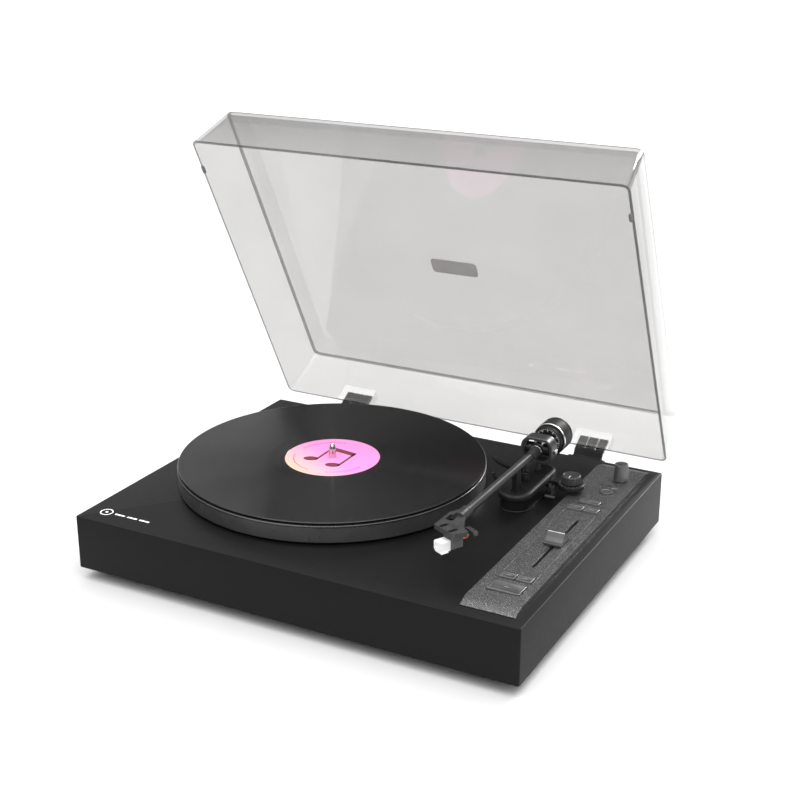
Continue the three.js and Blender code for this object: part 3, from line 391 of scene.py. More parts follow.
def surface(name, colour, rough, metal=0.0, tone=0.08, grain=(900, 0.15), fleck=None, brushed=None,
            painted_edge_highlight=0.0, uneven=0.08, specular=0.5, coat=0.0):
    """A procedural finish: uneven tone and roughness, fine grain, optional flecks and brushing, and an
    optional painted highlight on convex edges.
    """
    material, tree, bsdf = new_material(name)
    where = node(tree, "ShaderNodeTexCoord")
    patch = spread(tree, noise(tree, where, 45, 4), 0.3, 0.7, 0, 1)
    tint = blend_colour(tree, patch, shade(colour, 1 - tone), shade(colour, 1 + tone))
    if fleck:
        scale, light, share = fleck
        dots = spread(tree, noise(tree, where, scale, 2, 0.6), 0.5 + (1 - share) * 0.12, 0.66, 0, 1)
        tint = blend_colour(tree, dots, tint, light)
        dark = spread(tree, noise(tree, where, scale * 0.8, 2, 0.6, (1, 1.07, 1)), 0.34, 0.44, 1, 0)
        tint = blend_colour(tree, dark, tint, shade(colour, 0.72))
    # Painted highlight: convex edges, found by their pointiness, are lightened towards 1.9 times the colour.
    if painted_edge_highlight:
        geometry = node(tree, "ShaderNodeNewGeometry")
        edge = spread(tree, geometry.outputs["Pointiness"], 0.52, 0.6, 0, painted_edge_highlight)
        tint = blend_colour(tree, edge, tint, shade(colour, 1.9))
    tree.links.new(tint, bsdf.inputs["Base Color"])
    bsdf.inputs["Metallic"].default_value = metal
    bsdf.inputs["Specular IOR Level"].default_value = specular
    bsdf.inputs["Coat Weight"].default_value = coat
    cloud = noise(tree, where, 160, 3) if not brushed else noise(tree, where, 700, 3, 0.6, brushed)
    tree.links.new(
        spread(tree, cloud, 0.25, 0.75, max(0.02, rough - uneven), rough + uneven),
        bsdf.inputs["Roughness"]
    )
    scale, strength = grain
    bump = node(tree, "ShaderNodeBump", Strength=strength, Distance=0.0001)
    tree.links.new(noise(tree, where, scale, 2, 0.6, brushed), bump.inputs["Height"])
    tree.links.new(bump.outputs["Normal"], bsdf.inputs["Normal"])
    return material


def grey(level):
    """The linear value of a display grey from 0 to 255."""
    v = level / 255
    v = v / 12.92 if v <= 0.04045 else ((v + 0.055) / 1.055) ** 2.4
    return (v, v, v)


CABINET = surface("cabinet_black", grey(15), 0.42, grain=(1400, 0.2), tone=0.03, uneven=0.02, specular=0.15)
BLACK = surface("moulding_black", grey(20), 0.42, grain=(1600, 0.2), painted_edge_highlight=0.15, specular=0.3)
BLACK_METAL = surface("painted_black", grey(30), 0.35, 0.4, grain=(1500, 0.15), painted_edge_highlight=0.2)
PANEL = surface("strip_grey", grey(84), 0.38, 0.8, grain=(1900, 0.3), fleck=(1900, grey(205), 0.55))
BUTTON = surface(
    "button_grey", grey(104), 0.34, 0.75, grain=(2000, 0.25), fleck=(1400, grey(160), 0.3), painted_edge_highlight=0.5
)
KNOB = surface("knob_grey", grey(96), 0.38, 0.7, grain=(1800, 0.2), painted_edge_highlight=0.5)
FADER = surface("fader_silver", grey(88), 0.5, 0.8, grain=(900, 0.15), brushed=(0.06, 1, 1))
PAD = surface("pad_grey", grey(104), 0.6, grain=(2600, 0.4), specular=0.3)
RUBBER = surface("rubber_black", grey(34), 0.85, grain=(2600, 0.5), specular=0.3)
STEEL = surface("turned_steel", grey(205), 0.18, 1.0, grain=(900, 0.08), uneven=0.06)
ALLOY = surface("platter_alloy", grey(135), 0.34, 0.9, grain=(1500, 0.12), brushed=(1, 1, 0.08), tone=0.05)
SKATE = surface("skate_grey", grey(74), 0.34, 0.7, grain=(1500, 0.1), painted_edge_highlight=0.6)
EDGE = surface("platter_bright", grey(105), 0.3, 0.9, grain=(1200, 0.05))
FELT = surface("felt_black", grey(26), 0.95, grain=(5200, 1.0), specular=0.15, fleck=(5200, grey(44), 0.5))
TUBE = surface("arm_grey", grey(68), 0.46, 0.7, grain=(1400, 0.08), brushed=(1, 0.05, 1))
SHELL = surface("shell_grey", grey(56), 0.42, 0.5, grain=(1800, 0.18), painted_edge_highlight=0.6)
RING = surface("ring_grey", grey(84), 0.34, 0.75, grain=(1700, 0.15), painted_edge_highlight=0.6)
WEIGHT = surface("weight_grey", grey(30), 0.5, 0.2, grain=(1400, 0.1), painted_edge_highlight=0.3)
BRIGHT = surface("bright_edge", grey(225), 0.15, 1.0, grain=(1400, 0.04))
BODY_GREY = surface("cartridge_grey", grey(88), 0.45, 0.1, grain=(2200, 0.2), painted_edge_highlight=0.3)
WHITE = surface("guard_white", grey(248), 0.35, grain=(1500, 0.06), tone=0.01, specular=0.5)
PRINT = surface("print_pale", grey(160), 0.6, grain=(2200, 0.1))
PRINT_DARK = surface("print_dark", grey(40), 0.6, grain=(2200, 0.1))
COPPER = surface("copper", (0.5, 0.22, 0.08), 0.3, 0.9, grain=(3000, 0.3), brushed=(1, 1, 0.2))
BOARD = surface("board_green", (0.02, 0.09, 0.04), 0.4, grain=(900, 0.1))
LED = surface("lamp_red", (0.09, 0.012, 0.01), 0.15, grain=(900, 0.02), coat=0.4)
LENS = surface("lamp_lens", grey(150), 0.2, grain=(900, 0.04), coat=0.3)
WIRES = {
    "red": surface("wire_red", (0.75, 0.09, 0.03), 0.4, grain=(3000, 0.1)),
    "green": surface("wire_green", (0.03, 0.5, 0.06), 0.4, grain=(3000, 0.1)),
    "white": surface("wire_white", grey(235), 0.4, grain=(3000, 0.1)),
}
GOLD = surface("contact_gold", (0.8, 0.55, 0.2), 0.2, 1.0, grain=(1800, 0.05))
PLAQUE = surface("plaque_grey", grey(236), 0.4, 0.0, grain=(1800, 0.12), brushed=(0.08, 1, 1))


def from_centre(tree, where, centre):
    """Distance in millimetres from a vertical line, and the offset itself."""
    shift = node(tree, "ShaderNodeVectorMath", operation="SUBTRACT")
    tree.links.new(where.outputs["Object"], shift.inputs[0])
    shift.inputs[1].default_value = centre
    flat = node(tree, "ShaderNodeVectorMath", operation="MULTIPLY")
    tree.links.new(shift.outputs[0], flat.inputs[0])
    flat.inputs[1].default_value = (1000, 1000, 0)
    length = node(tree, "ShaderNodeVectorMath", operation="LENGTH")
    tree.links.new(flat.outputs[0], length.inputs[0])
    return length.outputs["Value"], flat.outputs[0]


def vinyl():
    material, tree, bsdf = new_material("vinyl_black")
    where = node(tree, "ShaderNodeTexCoord")
    distance, _ = from_centre(tree, where, TO_ROW @ Vector((SPIN.x, SPIN.y, 0)))
    wave = node(tree, "ShaderNodeMath", operation="MULTIPLY")
    tree.links.new(distance, wave.inputs[0])
    wave.inputs[1].default_value = 2 * pi / 0.55
    ripple = node(tree, "ShaderNodeMath", operation="SINE")
    tree.links.new(wave.outputs[0], ripple.inputs[0])
    slow = node(tree, "ShaderNodeTexNoise", noise_dimensions="1D", Scale=1.3, Detail=6.0, Roughness=0.7)
    tree.links.new(distance, slow.inputs["W"])
    tree.links.new(
        blend_colour(tree, spread(tree, slow.outputs["Fac"], 0.3, 0.7, 0, 1), grey(13), grey(17)),
        bsdf.inputs["Base Color"],
    )
    tree.links.new(spread(tree, slow.outputs["Fac"], 0.3, 0.7, 0.15, 0.2), bsdf.inputs["Roughness"])
    bump = node(tree, "ShaderNodeBump", Strength=0.25, Distance=0.00005)
    tree.links.new(ripple.outputs[0], bump.inputs["Height"])
    tree.links.new(bump.outputs["Normal"], bsdf.inputs["Normal"])
    tangent = node(tree, "ShaderNodeTangent", direction_type="RADIAL", axis="Z")
    tree.links.new(tangent.outputs[0], bsdf.inputs["Tangent"])
    bsdf.inputs["Anisotropic"].default_value = 0.95
    bsdf.inputs["Anisotropic Rotation"].default_value = 0.25
    return material


def label_paper():
    material, tree, bsdf = new_material("label_pink")
    where = node(tree, "ShaderNodeTexCoord")
    distance, offset = from_centre(tree, where, TO_ROW @ Vector((SPIN.x, SPIN.y, 0)))
    axis = node(tree, "ShaderNodeVectorMath", operation="DOT_PRODUCT")
    tree.links.new(offset, axis.inputs[0])
    axis.inputs[1].default_value = (-0.5, -0.87, 0)
    warm = spread(tree, axis.outputs["Value"], 2, 44, 0, 1)
    tint = blend_colour(tree, warm, (1.0, 0.235, 0.60), (1.0, 0.48, 0.36))
    fibres = spread(tree, noise(tree, where, 1800, 3), 0.3, 0.7, 0, 0.14)
    tint = blend_colour(tree, fibres, tint, (1, 0.75, 0.8))
    tree.links.new(tint, bsdf.inputs["Base Color"])
    bsdf.inputs["Roughness"].default_value = 0.5
    bump = node(tree, "ShaderNodeBump", Strength=0.1, Distance=0.00005)
    tree.links.new(noise(tree, where, 2400), bump.inputs["Height"])
    tree.links.new(bump.outputs["Normal"], bsdf.inputs["Normal"])
    return material


def clear_plastic(name, tint, gloss):
    """Thin clear plastic: each face passes a little less light, and mirrors more at a grazing angle."""
    material, tree, bsdf = new_material(name)
    tree.nodes.remove(bsdf)
    where = node(tree, "ShaderNodeTexCoord")
    haze = spread(tree, noise(tree, where, 14, 3), 0.3, 0.7, 0, 1)
    passes = node(tree, "ShaderNodeBsdfTransparent")
    tree.links.new(blend_colour(tree, haze, shade(tint, 0.985), shade(tint, 1.01)), passes.inputs["Color"])
    mirror = node(tree, "ShaderNodeBsdfGlossy", Color=(1, 1, 1, 1))
    tree.links.new(spread(tree, noise(tree, where, 90, 5), 0.3, 0.8, 0.02, 0.07), mirror.inputs["Roughness"])
    angle = node(tree, "ShaderNodeLayerWeight", Blend=0.5)
    steep = node(tree, "ShaderNodeMath", operation="POWER")
    tree.links.new(angle.outputs["Facing"], steep.inputs[0])
    steep.inputs[1].default_value = 5.0
    mix = node(tree, "ShaderNodeMixShader")
    tree.links.new(spread(tree, steep.outputs[0], 0, 1, gloss, 0.9), mix.inputs[0])
    tree.links.new(passes.outputs[0], mix.inputs[1])
    tree.links.new(mirror.outputs[0], mix.inputs[2])
    tree.links.new(mix.outputs[0], tree.nodes["Material Output"].inputs["Surface"])
    return material


VINYL = vinyl()
LABEL = label_paper()
CLEAR = clear_plastic("cover_clear", (0.715, 0.711, 0.708), 0.05)
CLEAR_WALL = clear_plastic("cover_wall", (0.765, 0.761, 0.758), 0.05)
CLEAR_BLOCK = clear_plastic("cover_block", (0.95, 0.948, 0.945), 0.08)
# Painted shade: a dark tint on the lid's rim underside and top bevel, for the dark lines that clear edges
# show.
CLEAR_EDGE_SHADE = clear_plastic("cover_edge_shade", (0.3, 0.3, 0.3), 0.05)

# ------------------------------------------------------------------ plinth, cover, feet
PW, PD, PH = 225.15, 177.0, 52.2


def outline(inset, r):
    return rect(-PW + inset, PW - inset, -PD + inset, PD - inset, r, 6)


shell = stack(
    [(-PH, outline(0, 2)), (-0.8, outline(0, 2)), (-0.25, outline(0.25, 1.8)), (0, outline(0.8, 1.4))]
)
plinth = cut(
    shell,
    prism(rect(-PW + 5, PW - 5, -PD + 5, PD - 5, 3, 3), -PH - 1, -6),
    prism(circle(SPIN.x, SPIN.y, 10.4), -8, 2),
    prism(rect(169.5, 209.5, -141, 147, 2, 3), -8, 2),
    prism(rect(28, 92, -37, -19), 170, 180, way=Y_WAY),
    prism(rect(9, 19, -30.4, -25.6), 170, 180, way=Y_WAY),
    prism(circle(-60, -28, 6.5), 170, 180, way=Y_WAY),
    prism(circle(112, -28, 2.4), 170, 180, way=Y_WAY),
)
piece("plinth_shell", plinth, "plinth", CABINET, ["plinth"], "cabinet")
base = join(
    prism(rect(-PW + 5.3, PW - 5.3, -PD + 5.3, PD - 5.3, 2, 3), -PH, -PH + 3),
    *[
        prism(rect(x - 55, x + 55, -0.9 + y, 0.9 + y, 0.8, 2), -PH + 2.5, -PH + 5) for x in (-130, 130)
        for y in (-60, 0, 60)
    ],
)
base = cut(
    base, *[prism(rect(x - 1.2, x + 1.2, -40, 40, 1.1, 4), -PH - 1, -PH + 6) for x in range(-48, 54, 8)]
)
piece("underside", base, "plinth", CABINET, ["bottom_cover"], "cabinet")
for name, x, y in (("fl", -176, -128), ("fr", 176, -128), ("bl", -176, 128), ("br", 176, 128)):
    profile = fillet(
        [
            (0, -63.4), (9, -63.4), (10, -64.2, 0.5), (17, -64.2, 1.5), (19, -61.8, 1), (20, -53.6, 1),
            (18.8, -52.5, 0.5), (0, -52.5)
        ],
        0, 4, closed=False
    )
    piece("rubber_foot_" + name, lathe(profile, x, y, 64), "plinth", RUBBER, ["foot_" + name], "rubber")

# ------------------------------------------------------------------ platter, mat, record, label, spindle
platter = fillet(
    [
        (4, 14), (60, 14), (61, 15.5), (138, 15.5), (143.4, 12), (143.4, 2), (150.4, 2, 0.6), (151, 3),
        (151, 17.4), (151.4, 17.6), (151.4, 18.6, 0.3), (150.9, 19, 0.3), (4, 19)
    ],
    0.15, 3
)
platter.append(platter[0])
piece("platter_body", lathe(platter, *SPIN, 256), "platter", ALLOY, ["platter"], "alloy", sharp=25)
bead = fillet(
    [(150.95, 16.9), (151.4, 17.1), (151.45, 18.8), (150.9, 19.08), (150.3, 19.05), (150.3, 16.9)], 0.1, 3
)
bead.append(bead[0])
piece("platter_edge", lathe(bead, *SPIN, 256), "platter", EDGE, (), "alloy")
mat = fillet([(3.9, 19.3), (147, 19.3, 0.3), (147, 20.6, 0.4), (3.9, 20.6)], 0.1, 3)
mat.append(mat[0])
piece("slip_mat", lathe(mat, *SPIN, 192), "platter", FELT, ["slipmat"], "felt")

top = 22.3
grooves = [
    (3.65, 20.95), (150.2, 20.95), (150.75, 21.3), (150.8, 21.7), (150.4, 22.15), (149.6, top),
    (146.6, top)
]
bands = [146.4, 131.8, 115.2, 99.6, 83.5, 63.5]
for outer, inner in zip(bands, bands[1:]):
    grooves += [(outer, top - 0.05), (inner + 0.9, top - 0.05), (inner + 0.7, top), (inner + 0.2, top)]
grooves += [
    (63.3, top - 0.03), (53, top - 0.03), (52.8, top), (47.2, top), (46.9, top - 0.25),
    (3.65, top - 0.25), (3.65, 20.95)
]
piece("record_disc", lathe(grooves, *SPIN, 256), "record", VINYL, ["record"], "vinyl", sharp=5)
paper = fillet([(3.65, 22.08), (46.6, 22.08), (46.6, 22.24, 0.08), (3.65, 22.24)], 0, 2)
paper.append(paper[0])
piece("label_disc", lathe(paper, *SPIN, 128), "record", LABEL, ["record_label"], "label")
ring = [(43.4, 22.2), (43.4, 22.27), (43.7, 22.27), (43.7, 22.2), (43.4, 22.2)]
piece("label_ring", lathe(ring, *SPIN, 128), "record", PRINT, (), "label")
spindle = fillet(
    [
        (0, -37.6), (3.6, -37), (3.6, 3), (12, 3, 0.5), (12, 13.7, 0.5), (3.6, 13.7), (3.6, 31.6, 0.5),
        (2.6, 34.6, 1.5), (1.2, 36.9, 1.2), (0, 37)
    ],
    0, 4, closed=False
)
piece("centre_spindle", lathe(spindle, *SPIN, 48), "platter", STEEL, ["spindle"], "steel")

# ------------------------------------------------------------------ shapes used by the small parts
def box(x0, x1, y0, y1, z0, z1):
    return prism([(x0, y0), (x1, y0), (x1, y1), (x0, y1)], z0, z1)


def band(centre, r0, r1, a0, a1, steps=28):
    """A flat strip along an arc, angles in degrees."""
    turns = [radians(a0 + (a1 - a0) * k / steps) for k in range(steps + 1)]
    outer = [Vector((centre[0] + r1 * cos(t), centre[1] + r1 * sin(t))) for t in turns]
    return outer + [Vector((centre[0] + r0 * cos(t), centre[1] + r0 * sin(t))) for t in reversed(turns)]


def ribbed(x, y, r, depth, ribs):
    """A circle with ribs round it."""
    out = []
    for k in range(ribs):
        for part, radius in ((0, r), (0.42, r), (0.58, r - depth), (0.84, r - depth)):
            t = 2 * pi * (k + part) / ribs
            out.append(Vector((x + radius * cos(t), y + radius * sin(t))))
    return out


def looped(profile, radius=0.15, steps=3):
    """A closed profile with softened corners, for a lathe."""
    out = fillet(profile, radius, steps)
    out.append(out[0])
    return out


# ------------------------------------------------------------------ control strip and its controls
STRIP_TOP = 4.5
side = [(-162.6, 0.05), (169, 0.05), (169, 0.6), (156.2, STRIP_TOP), (-149.8, STRIP_TOP), (-162.6, 0.6)]
keys = {
    "start_stop_button": (175.5, 205.2, -134.5, -118),
    "speed_button_a": (175.8, 190.1, -110.6, -100.8),
    "speed_button_b": (190.9, 205.2, -110.6, -100.8),
    "range_button_a": (176, 190.1, 44.4, 53.9),
    "range_button_b": (190.9, 205, 44.4, 53.9),
    "lock_button": (180.6, 200.4, 61.7, 69.7),
}
wells = [
    (175.5, 205.2, -134.5, -118), (175.8, 205.2, -110.6, -100.8), (176, 205, 44.4, 53.9),
    (180.6, 200.4, 61.7, 69.7)
]
strip = cut(
    prism(side, 164.5, 214.3, way=X_WAY),
    *[prism(rect(x0 - 0.6, x1 + 0.6, y0 - 0.6, y1 + 0.6, 1.1, 3), -1, 6) for x0, x1, y0, y1 in wells],
    *[prism(rect(x0 - 0.6, x1 + 0.6, y0 - 1.5, y1 + 1.5, 0.8, 2), -1, 3.3) for x0, x1, y0, y1 in wells],
    prism(rect(193.1, 195.7, -80.5, 26.5, 1.25, 4), -1, 6),
    prism(rect(191.9, 196.9, -81.7, 27.7, 2.4, 4), STRIP_TOP - 0.5, 6),
    prism(circle(195.5, 96.1, 6.55), -1, 6), prism(circle(197.3, 112.9, 5.95), -1, 6),
    prism(circle(183.8, 112.5, 1.6, 24), -1, 6), prism(circle(198, 130, 3.35), -1, 6),
    prism(
        rect(174.4, 206.5, -98.6, 42.4, 1.2, 3), 4.1, 6,
        holes=[rect(174.95, 205.95, -98.05, 41.85, 0.9, 3)]
    ),
)
piece("strip_plate", strip, "plinth", PANEL, ["control_panel"], "panel", bevel=0.28)
ticks = []
for k in range(21):
    long = k % 5 == 0
    ticks.append(box(176.6, 181.2 if long else 179.2, -62.2 + 3.85 * k, -61.8 + 3.85 * k, 4.48, 4.54))
ticks += [prism(circle(x, y, 0.6, 20), 4.48, 4.54) for x, y in ((184.2, -84.8), (184.3, 30.1), (173, -27.3))]
ticks += [box(x, x + 4, 57.2, 57.6, 4.48, 4.54) for x in (181, 196)]
ticks += [box(x, x + 4, -114.6, -114.2, 4.48, 4.54) for x in (181, 196)]
ticks += [prism(band((198, 130), 9.4, 11, a - 1.2, a + 1.2, 2), 4.48, 4.54) for a in (-90, -120, -150)]
piece("strip_marks", merged(*ticks), "plinth", PRINT_DARK, (), "panel")
# A plain mark on the front left corner: a ring round a dot, and three dashes.
front_mark = [
    prism(circle(-205, -156, 6.4, 48), -0.02, 0.04, holes=[circle(-205, -156, 5.2, 48)]),
    prism(circle(-205, -156, 1.5, 24), -0.02, 0.04),
    *[box(x, x + 11, -157.1, -154.9, -0.02, 0.04) for x in (-195, -181, -167)],
]
piece("front_mark", merged(*front_mark), "plinth", WHITE, (), "cabinet")

for name, (x0, x1, y0, y1) in keys.items():
    def ring(inset, r):
        return rect(x0 + inset, x1 - inset, y0 + inset, y1 - inset, r, 3)
    cap = stack([(-0.2, ring(0, 0.8)), (5.3, ring(0, 0.8)), (5.8, ring(0.15, 0.75)), (6, ring(0.5, 0.7)),
                 (6, ring(1.3, 0.6)), (5.78, ring(1.9, 0.5))])
    flange = prism(rect(x0, x1, y0 - 1, y1 + 1, 0.3, 2), 1.1, 2)
    piece(name + "_cap", merged(cap, flange), name, BUTTON, [name], "button", sharp=28)
    cx, cy = (x0 + x1) / 2, (y0 + y1) / 2
    mark = box(cx - 2.4, cx + 2.4, cy - 0.2, cy + 0.2, 5.76, 5.82)
    piece(name + "_mark", mark, name, PRINT, (), "button")

disc = lathe(
    [
        (0, -0.2), (6.2, -0.2), (6.2, 0.4), (7.2, 0.4), (7.2, 2), (6.2, 2), (6.2, 5.5), (6.05, 5.85),
        (5.7, 6), (4.9, 6), (4.6, 5.85), (4.2, 5.5), (0, 5.3)
    ],
    195.5, 96.1, 64
)
piece("lamp_button_cap", disc, "lamp_button", BUTTON, ["lamp_button"], "button", sharp=28)
post = lathe(
    [
        (0, -30), (5.6, -30), (5.6, -7.4), (5.45, -7.2), (5.45, -6.9), (5.6, -6.7), (5.6, 4.3),
        (5.35, 4.7), (5.0, 4.8), (4.3, 4.8), (4.15, 4.2), (3.5, 4.2), (3.3, 4.7), (0, 4.75)
    ],
    197.3, 112.9, 64
)
piece("lamp_post_tube", post, "lamp_post", BUTTON, ["lamp_post"], "lamp", sharp=28)
lens = prism(rect(-1.9, 1.9, -2.6, 2.4, 0.8, 4), -5.75, -5.2, way=X_WAY)
lens.transform(Matrix.Translation((197.3, 112.9, 0)))
piece("lamp_post_lens", lens, "lamp_post", LENS, (), "lamp", bevel=0.15)
glow = lathe([(0, -5.9), (1.25, -5.9), (1.25, 4.2), (1.05, 4.6), (0.6, 4.78), (0, 4.8)], 183.8, 112.5, 32)
piece("power_lamp", glow, "plinth", LED, ["power_led"], "led")

grip = cut(
    lathe(
        [
            (0, -5.5), (3, -5.5), (3, 5), (6.9, 5), (7.2, 5.3), (7.2, 6.6), (6.95, 6.8), (6.95, 7.3),
            (7.15, 7.5), (6.75, 21.2), (6.5, 21.75), (6.0, 22), (4.9, 22), (4.7, 21.8), (0, 21.8)
        ],
        198, 130, 72
    ),
    box(197.35, 198.65, 121, 128.5, 21, 23),
)
piece("power_grip", grip, "power_knob", KNOB, ["power_knob"], "knob", sharp=30)

slope = [(-8 + 5.6 * t / 8, 7.7 + 5.1 * (t / 8) ** 1.9) for t in range(9)]
half = [(-10, 5), (-10, 7.1), (-9.6, 7.5), *slope, (-1.6, 14.1), (-1.1, 14.6)]
profile = [(y - 27, z) for y, z in half] + [(-27 - y, z) for y, z in reversed(half)]
cap = prism(profile, 185.75, 202.25, way=X_WAY)
piece(
    "fader_cap", merged(cap, box(193.5, 195.3, -30, -24, -1.2, 5.5)), "pitch_fader", FADER,
    ["pitch_fader"], "fader", bevel=0.3
)
piece("fader_line", box(186.1, 201.9, -27.35, -26.65, 14.56, 14.66), "pitch_fader", WHITE, (), "fader")

# ------------------------------------------------------------------ tonearm base and what stands on it
plate = stack(
    [
        (z, stadium(BASE_X, BASE_Y0, BASE_Y1, 16.9 - k)) for z,
        k in (
            (11.5, 0.5), (11.9, 0.1), (14.6, 0), (15.6, 0.25), (16.5, 0.95), (17.1, 1.8), (17.35, 2.6),
            (17.35, 3.1), (17.5, 3.4)
        )
    ]
)
footing = stack(
    [
        (z, stadium(BASE_X, BASE_Y0, BASE_Y1, 14.5 + k)) for z,
        k in ((0.05, 1.2), (0.9, 1.2), (1.2, 0.9), (1.2, 0), (11.6, 0))
    ]
)
neck = prism(
    fillet(
        [
            (136, 79.6), (151, 79.6, 5), (157, 72.5, 2), (165, 80), (158, 93.4, 3), (147, 98.4, 5),
            (136, 100)
        ],
        0, 5
    ),
    8.7, 12.7
)
lobe = lathe(
    [(0, 8.7), (12.3, 8.7), (13, 9.4), (13, 12.1), (12.7, 12.8), (12, 13.2), (0, 13.2)], LOBE_X, LOBE_Y,
    72
)
collar = rod(4.4, 16, 18.7, 0.5, at=(ARM_X, ARM_Y, 0))
guide = rod(4.2, 16, 23.4, 0.5, at=(GUIDE_X, GUIDE_Y, 0))
base = cut(
    join(plate, footing, neck, lobe, collar, guide),
    rod(2.75, 7.7, 20, at=(ARM_X, ARM_Y, 0)),
    rod(1.75, 8.7, 25, at=(GUIDE_X, GUIDE_Y, 0)),
    rod(2.3, 133.7, 145, way=SPIN_X, at=(0, 76, 9.5)),
    rod(2.9, 8, 15, at=(LOBE_X, LOBE_Y, 0)),
)
piece("arm_plate", base, "plinth", BLACK, ["arm_base"], "black", sharp=26)
scale = [
    prism(band((LOBE_X, LOBE_Y), 10.3, 12 if a % 60 == 0 else 11.3, a - 1.1, a + 1.1, 2), 13.18, 13.24)
    for a in range(0, 360, 20)
]
piece("anti_skate_scale", merged(*scale), "plinth", PRINT, (), "black")

sides = [
    (13.7, 8.9, 0.3), (14, 9.3, 0.5), (20.7, 9.3, 0.5), (21.1, 9.2, 0.4), (21.6, 8.7, 0.15),
    (21.9, 8.0, 0.001), (21.9, 7.4, 0.001), (21.7, 7.1, 0.001)
]
wheel = stack([(z, ribbed(LOBE_X, LOBE_Y, r, depth, 32)) for z, r, depth in sides])
piece(
    "anti_skate_wheel", merged(wheel, rod(2.5, 9.5, 14, at=(LOBE_X, LOBE_Y, 0))), "anti_skate_knob",
    SKATE, ["anti_skate_knob"], "knob", sharp=24
)
piece(
    "anti_skate_mark", box(LOBE_X - 0.35, LOBE_X + 0.35, LOBE_Y - 6.9, LOBE_Y - 2.5, 21.65, 21.76),
    "anti_skate_knob", WHITE, (), "knob"
)

blade = fillet(
    [
        (144.7, 74.6, 0.6), (147.6, 77.6, 0.8), (157.4, 60.4, 3), (157.4, 50.8, 0.4), (154.4, 50.8, 0.4),
        (154.4, 58.6, 3)
    ],
    0, 5
)
lever = join(rod(1.9, 134, 147, 0.4, way=SPIN_X, at=(0, 76, 9.5)), prism(blade, 8.6, 10.4))
piece("cue_blade", lever, "cue_lever", BLACK_METAL, ["cue_lever"], "black_metal", bevel=0.25)
tip = lathe(
    [
        (0, 150.4), (1.7, 150.4), (2.2, 150.9), (2.2, 151.6), (2.0, 151.8), (2.0, 152.2), (2.2, 152.4),
        (2.2, 160.2), (1.7, 160.8), (0, 160.8)
    ],
    steps=40, way=SPIN_X
)
tip.transform(Matrix.Translation((0, 51.6, 8.8)))
piece("cue_tip", tip, "cue_lever", BLACK_METAL, (), "black_metal", sharp=28)

rail = cut(
    prism(band(ARM, 41.7, 45.9, -86, -142, 36), 32.7, 35.9),
    prism(band(ARM, 43.1, 44.7, -80, -150, 36), 35.2, 37),
)
rail = join(rail, box(123.8, 127.8, 43.9, 60.9, 32.7, 34.3))
lifter = merged(rail, rod(1.4, 9, 33.4, at=(GUIDE_X, GUIDE_Y, 0)))
piece("lift_rail", lifter, "arm_lift", BLACK, ["arm_lift"], "black", bevel=0.25)
cap = lathe(
    [(0, 23.8), (4.1, 23.8), (4.4, 24.1), (4.4, 25.3), (4.0, 26.0), (3.2, 26.2), (0, 26.2)], GUIDE_X,
    GUIDE_Y, 48
)
piece("lift_cap", cap, "arm_lift", BLACK_METAL, (), "black", sharp=28)

pillar = join(
    prism(rect(125.6, 130.8, 29.6, 40.2, 0.8, 3), 17.4, 36.8),
    prism(rect(124.6, 131.8, 28.6, 41.2, 1.2, 3), 17.4, 18.9),
    box(121.4, 126, 30.6, 31.9, 29.2, 32.8),
    box(121.4, 126, 36.5, 37.8, 29.2, 32.8),
    rod(0.8, 31, 37.5, way=SPIN_Y, at=(123, 0, 31)),
)
pillar = cut(pillar, rod(4.1, 25, 45, way=SPIN_Y, at=(128.2, 0, 40)))
piece("rest_pillar", pillar, "plinth", BLACK, ["arm_rest"], "black", bevel=0.2)
strap = fillet(
    [(121.6, 31), (123.4, 31), (123.4, 47.3), (131.6, 47.3), (131.6, 48.9), (121.6, 48.9, 1.6)], 0.3, 4
)
strap = cut(
    join(prism(strap, 32.2, 36.2, way=Y_WAY), rod(2, 32.2, 36.2, way=SPIN_Y, at=(123, 0, 31))),
    rod(1.2, 30, 38, way=SPIN_Y, at=(123, 0, 31)),
)
strap.transform(turned(-118, "Y", (123, 0, 31)))
piece("rest_strap", strap, "rest_clip", BLACK, ["rest_clip"], "black", bevel=0.2)

# ------------------------------------------------------------------ gimbal, pivot, tube and weight
frame_ring = prism(
    rect(111.9, 144.5, 26.9, 53.1, 10, 10), 80.9, 94.5, holes=[rect(115, 141.4, 30, 50, 7.4, 10)],
    way=Y_WAY
)
frame_ring = cut(
    frame_ring,
    rod(2.1, 108, 118, way=SPIN_X, at=(0, 87.7, 40)),
    rod(2.1, 138.5, 148, way=SPIN_X, at=(0, 87.7, 40)),
)
piece(
    "ring_frame", merged(frame_ring, rod(2.4, 8, 27.6, at=(ARM_X, ARM_Y, 0))), "arm_yoke", RING,
    ["gimbal_ring"], "grey", bevel=0.7, segments=3
)
for name, way in (("l", -1), ("r", 1)):
    screw = lathe(
        [(0, 8.6), (1.2, 8.6), (1.8, 9.6), (1.8, 16.6), (2.8, 16.6), (2.8, 17.8), (2.5, 18.2), (0, 18.2)],
        steps=40, way=SPIN_X
    )
    screw = cut(screw, box(17.6, 19, -3, 3, -0.35, 0.35))
    screw.transform(Matrix.Translation((ARM_X, ARM_Y, ARM_Z)) @ Matrix.Rotation(0 if way > 0 else pi, 4, "Z"))
    piece("gimbal_screw_" + name, screw, "arm_yoke", STEEL, ["pivot_screw_" + name], "steel", sharp=28)

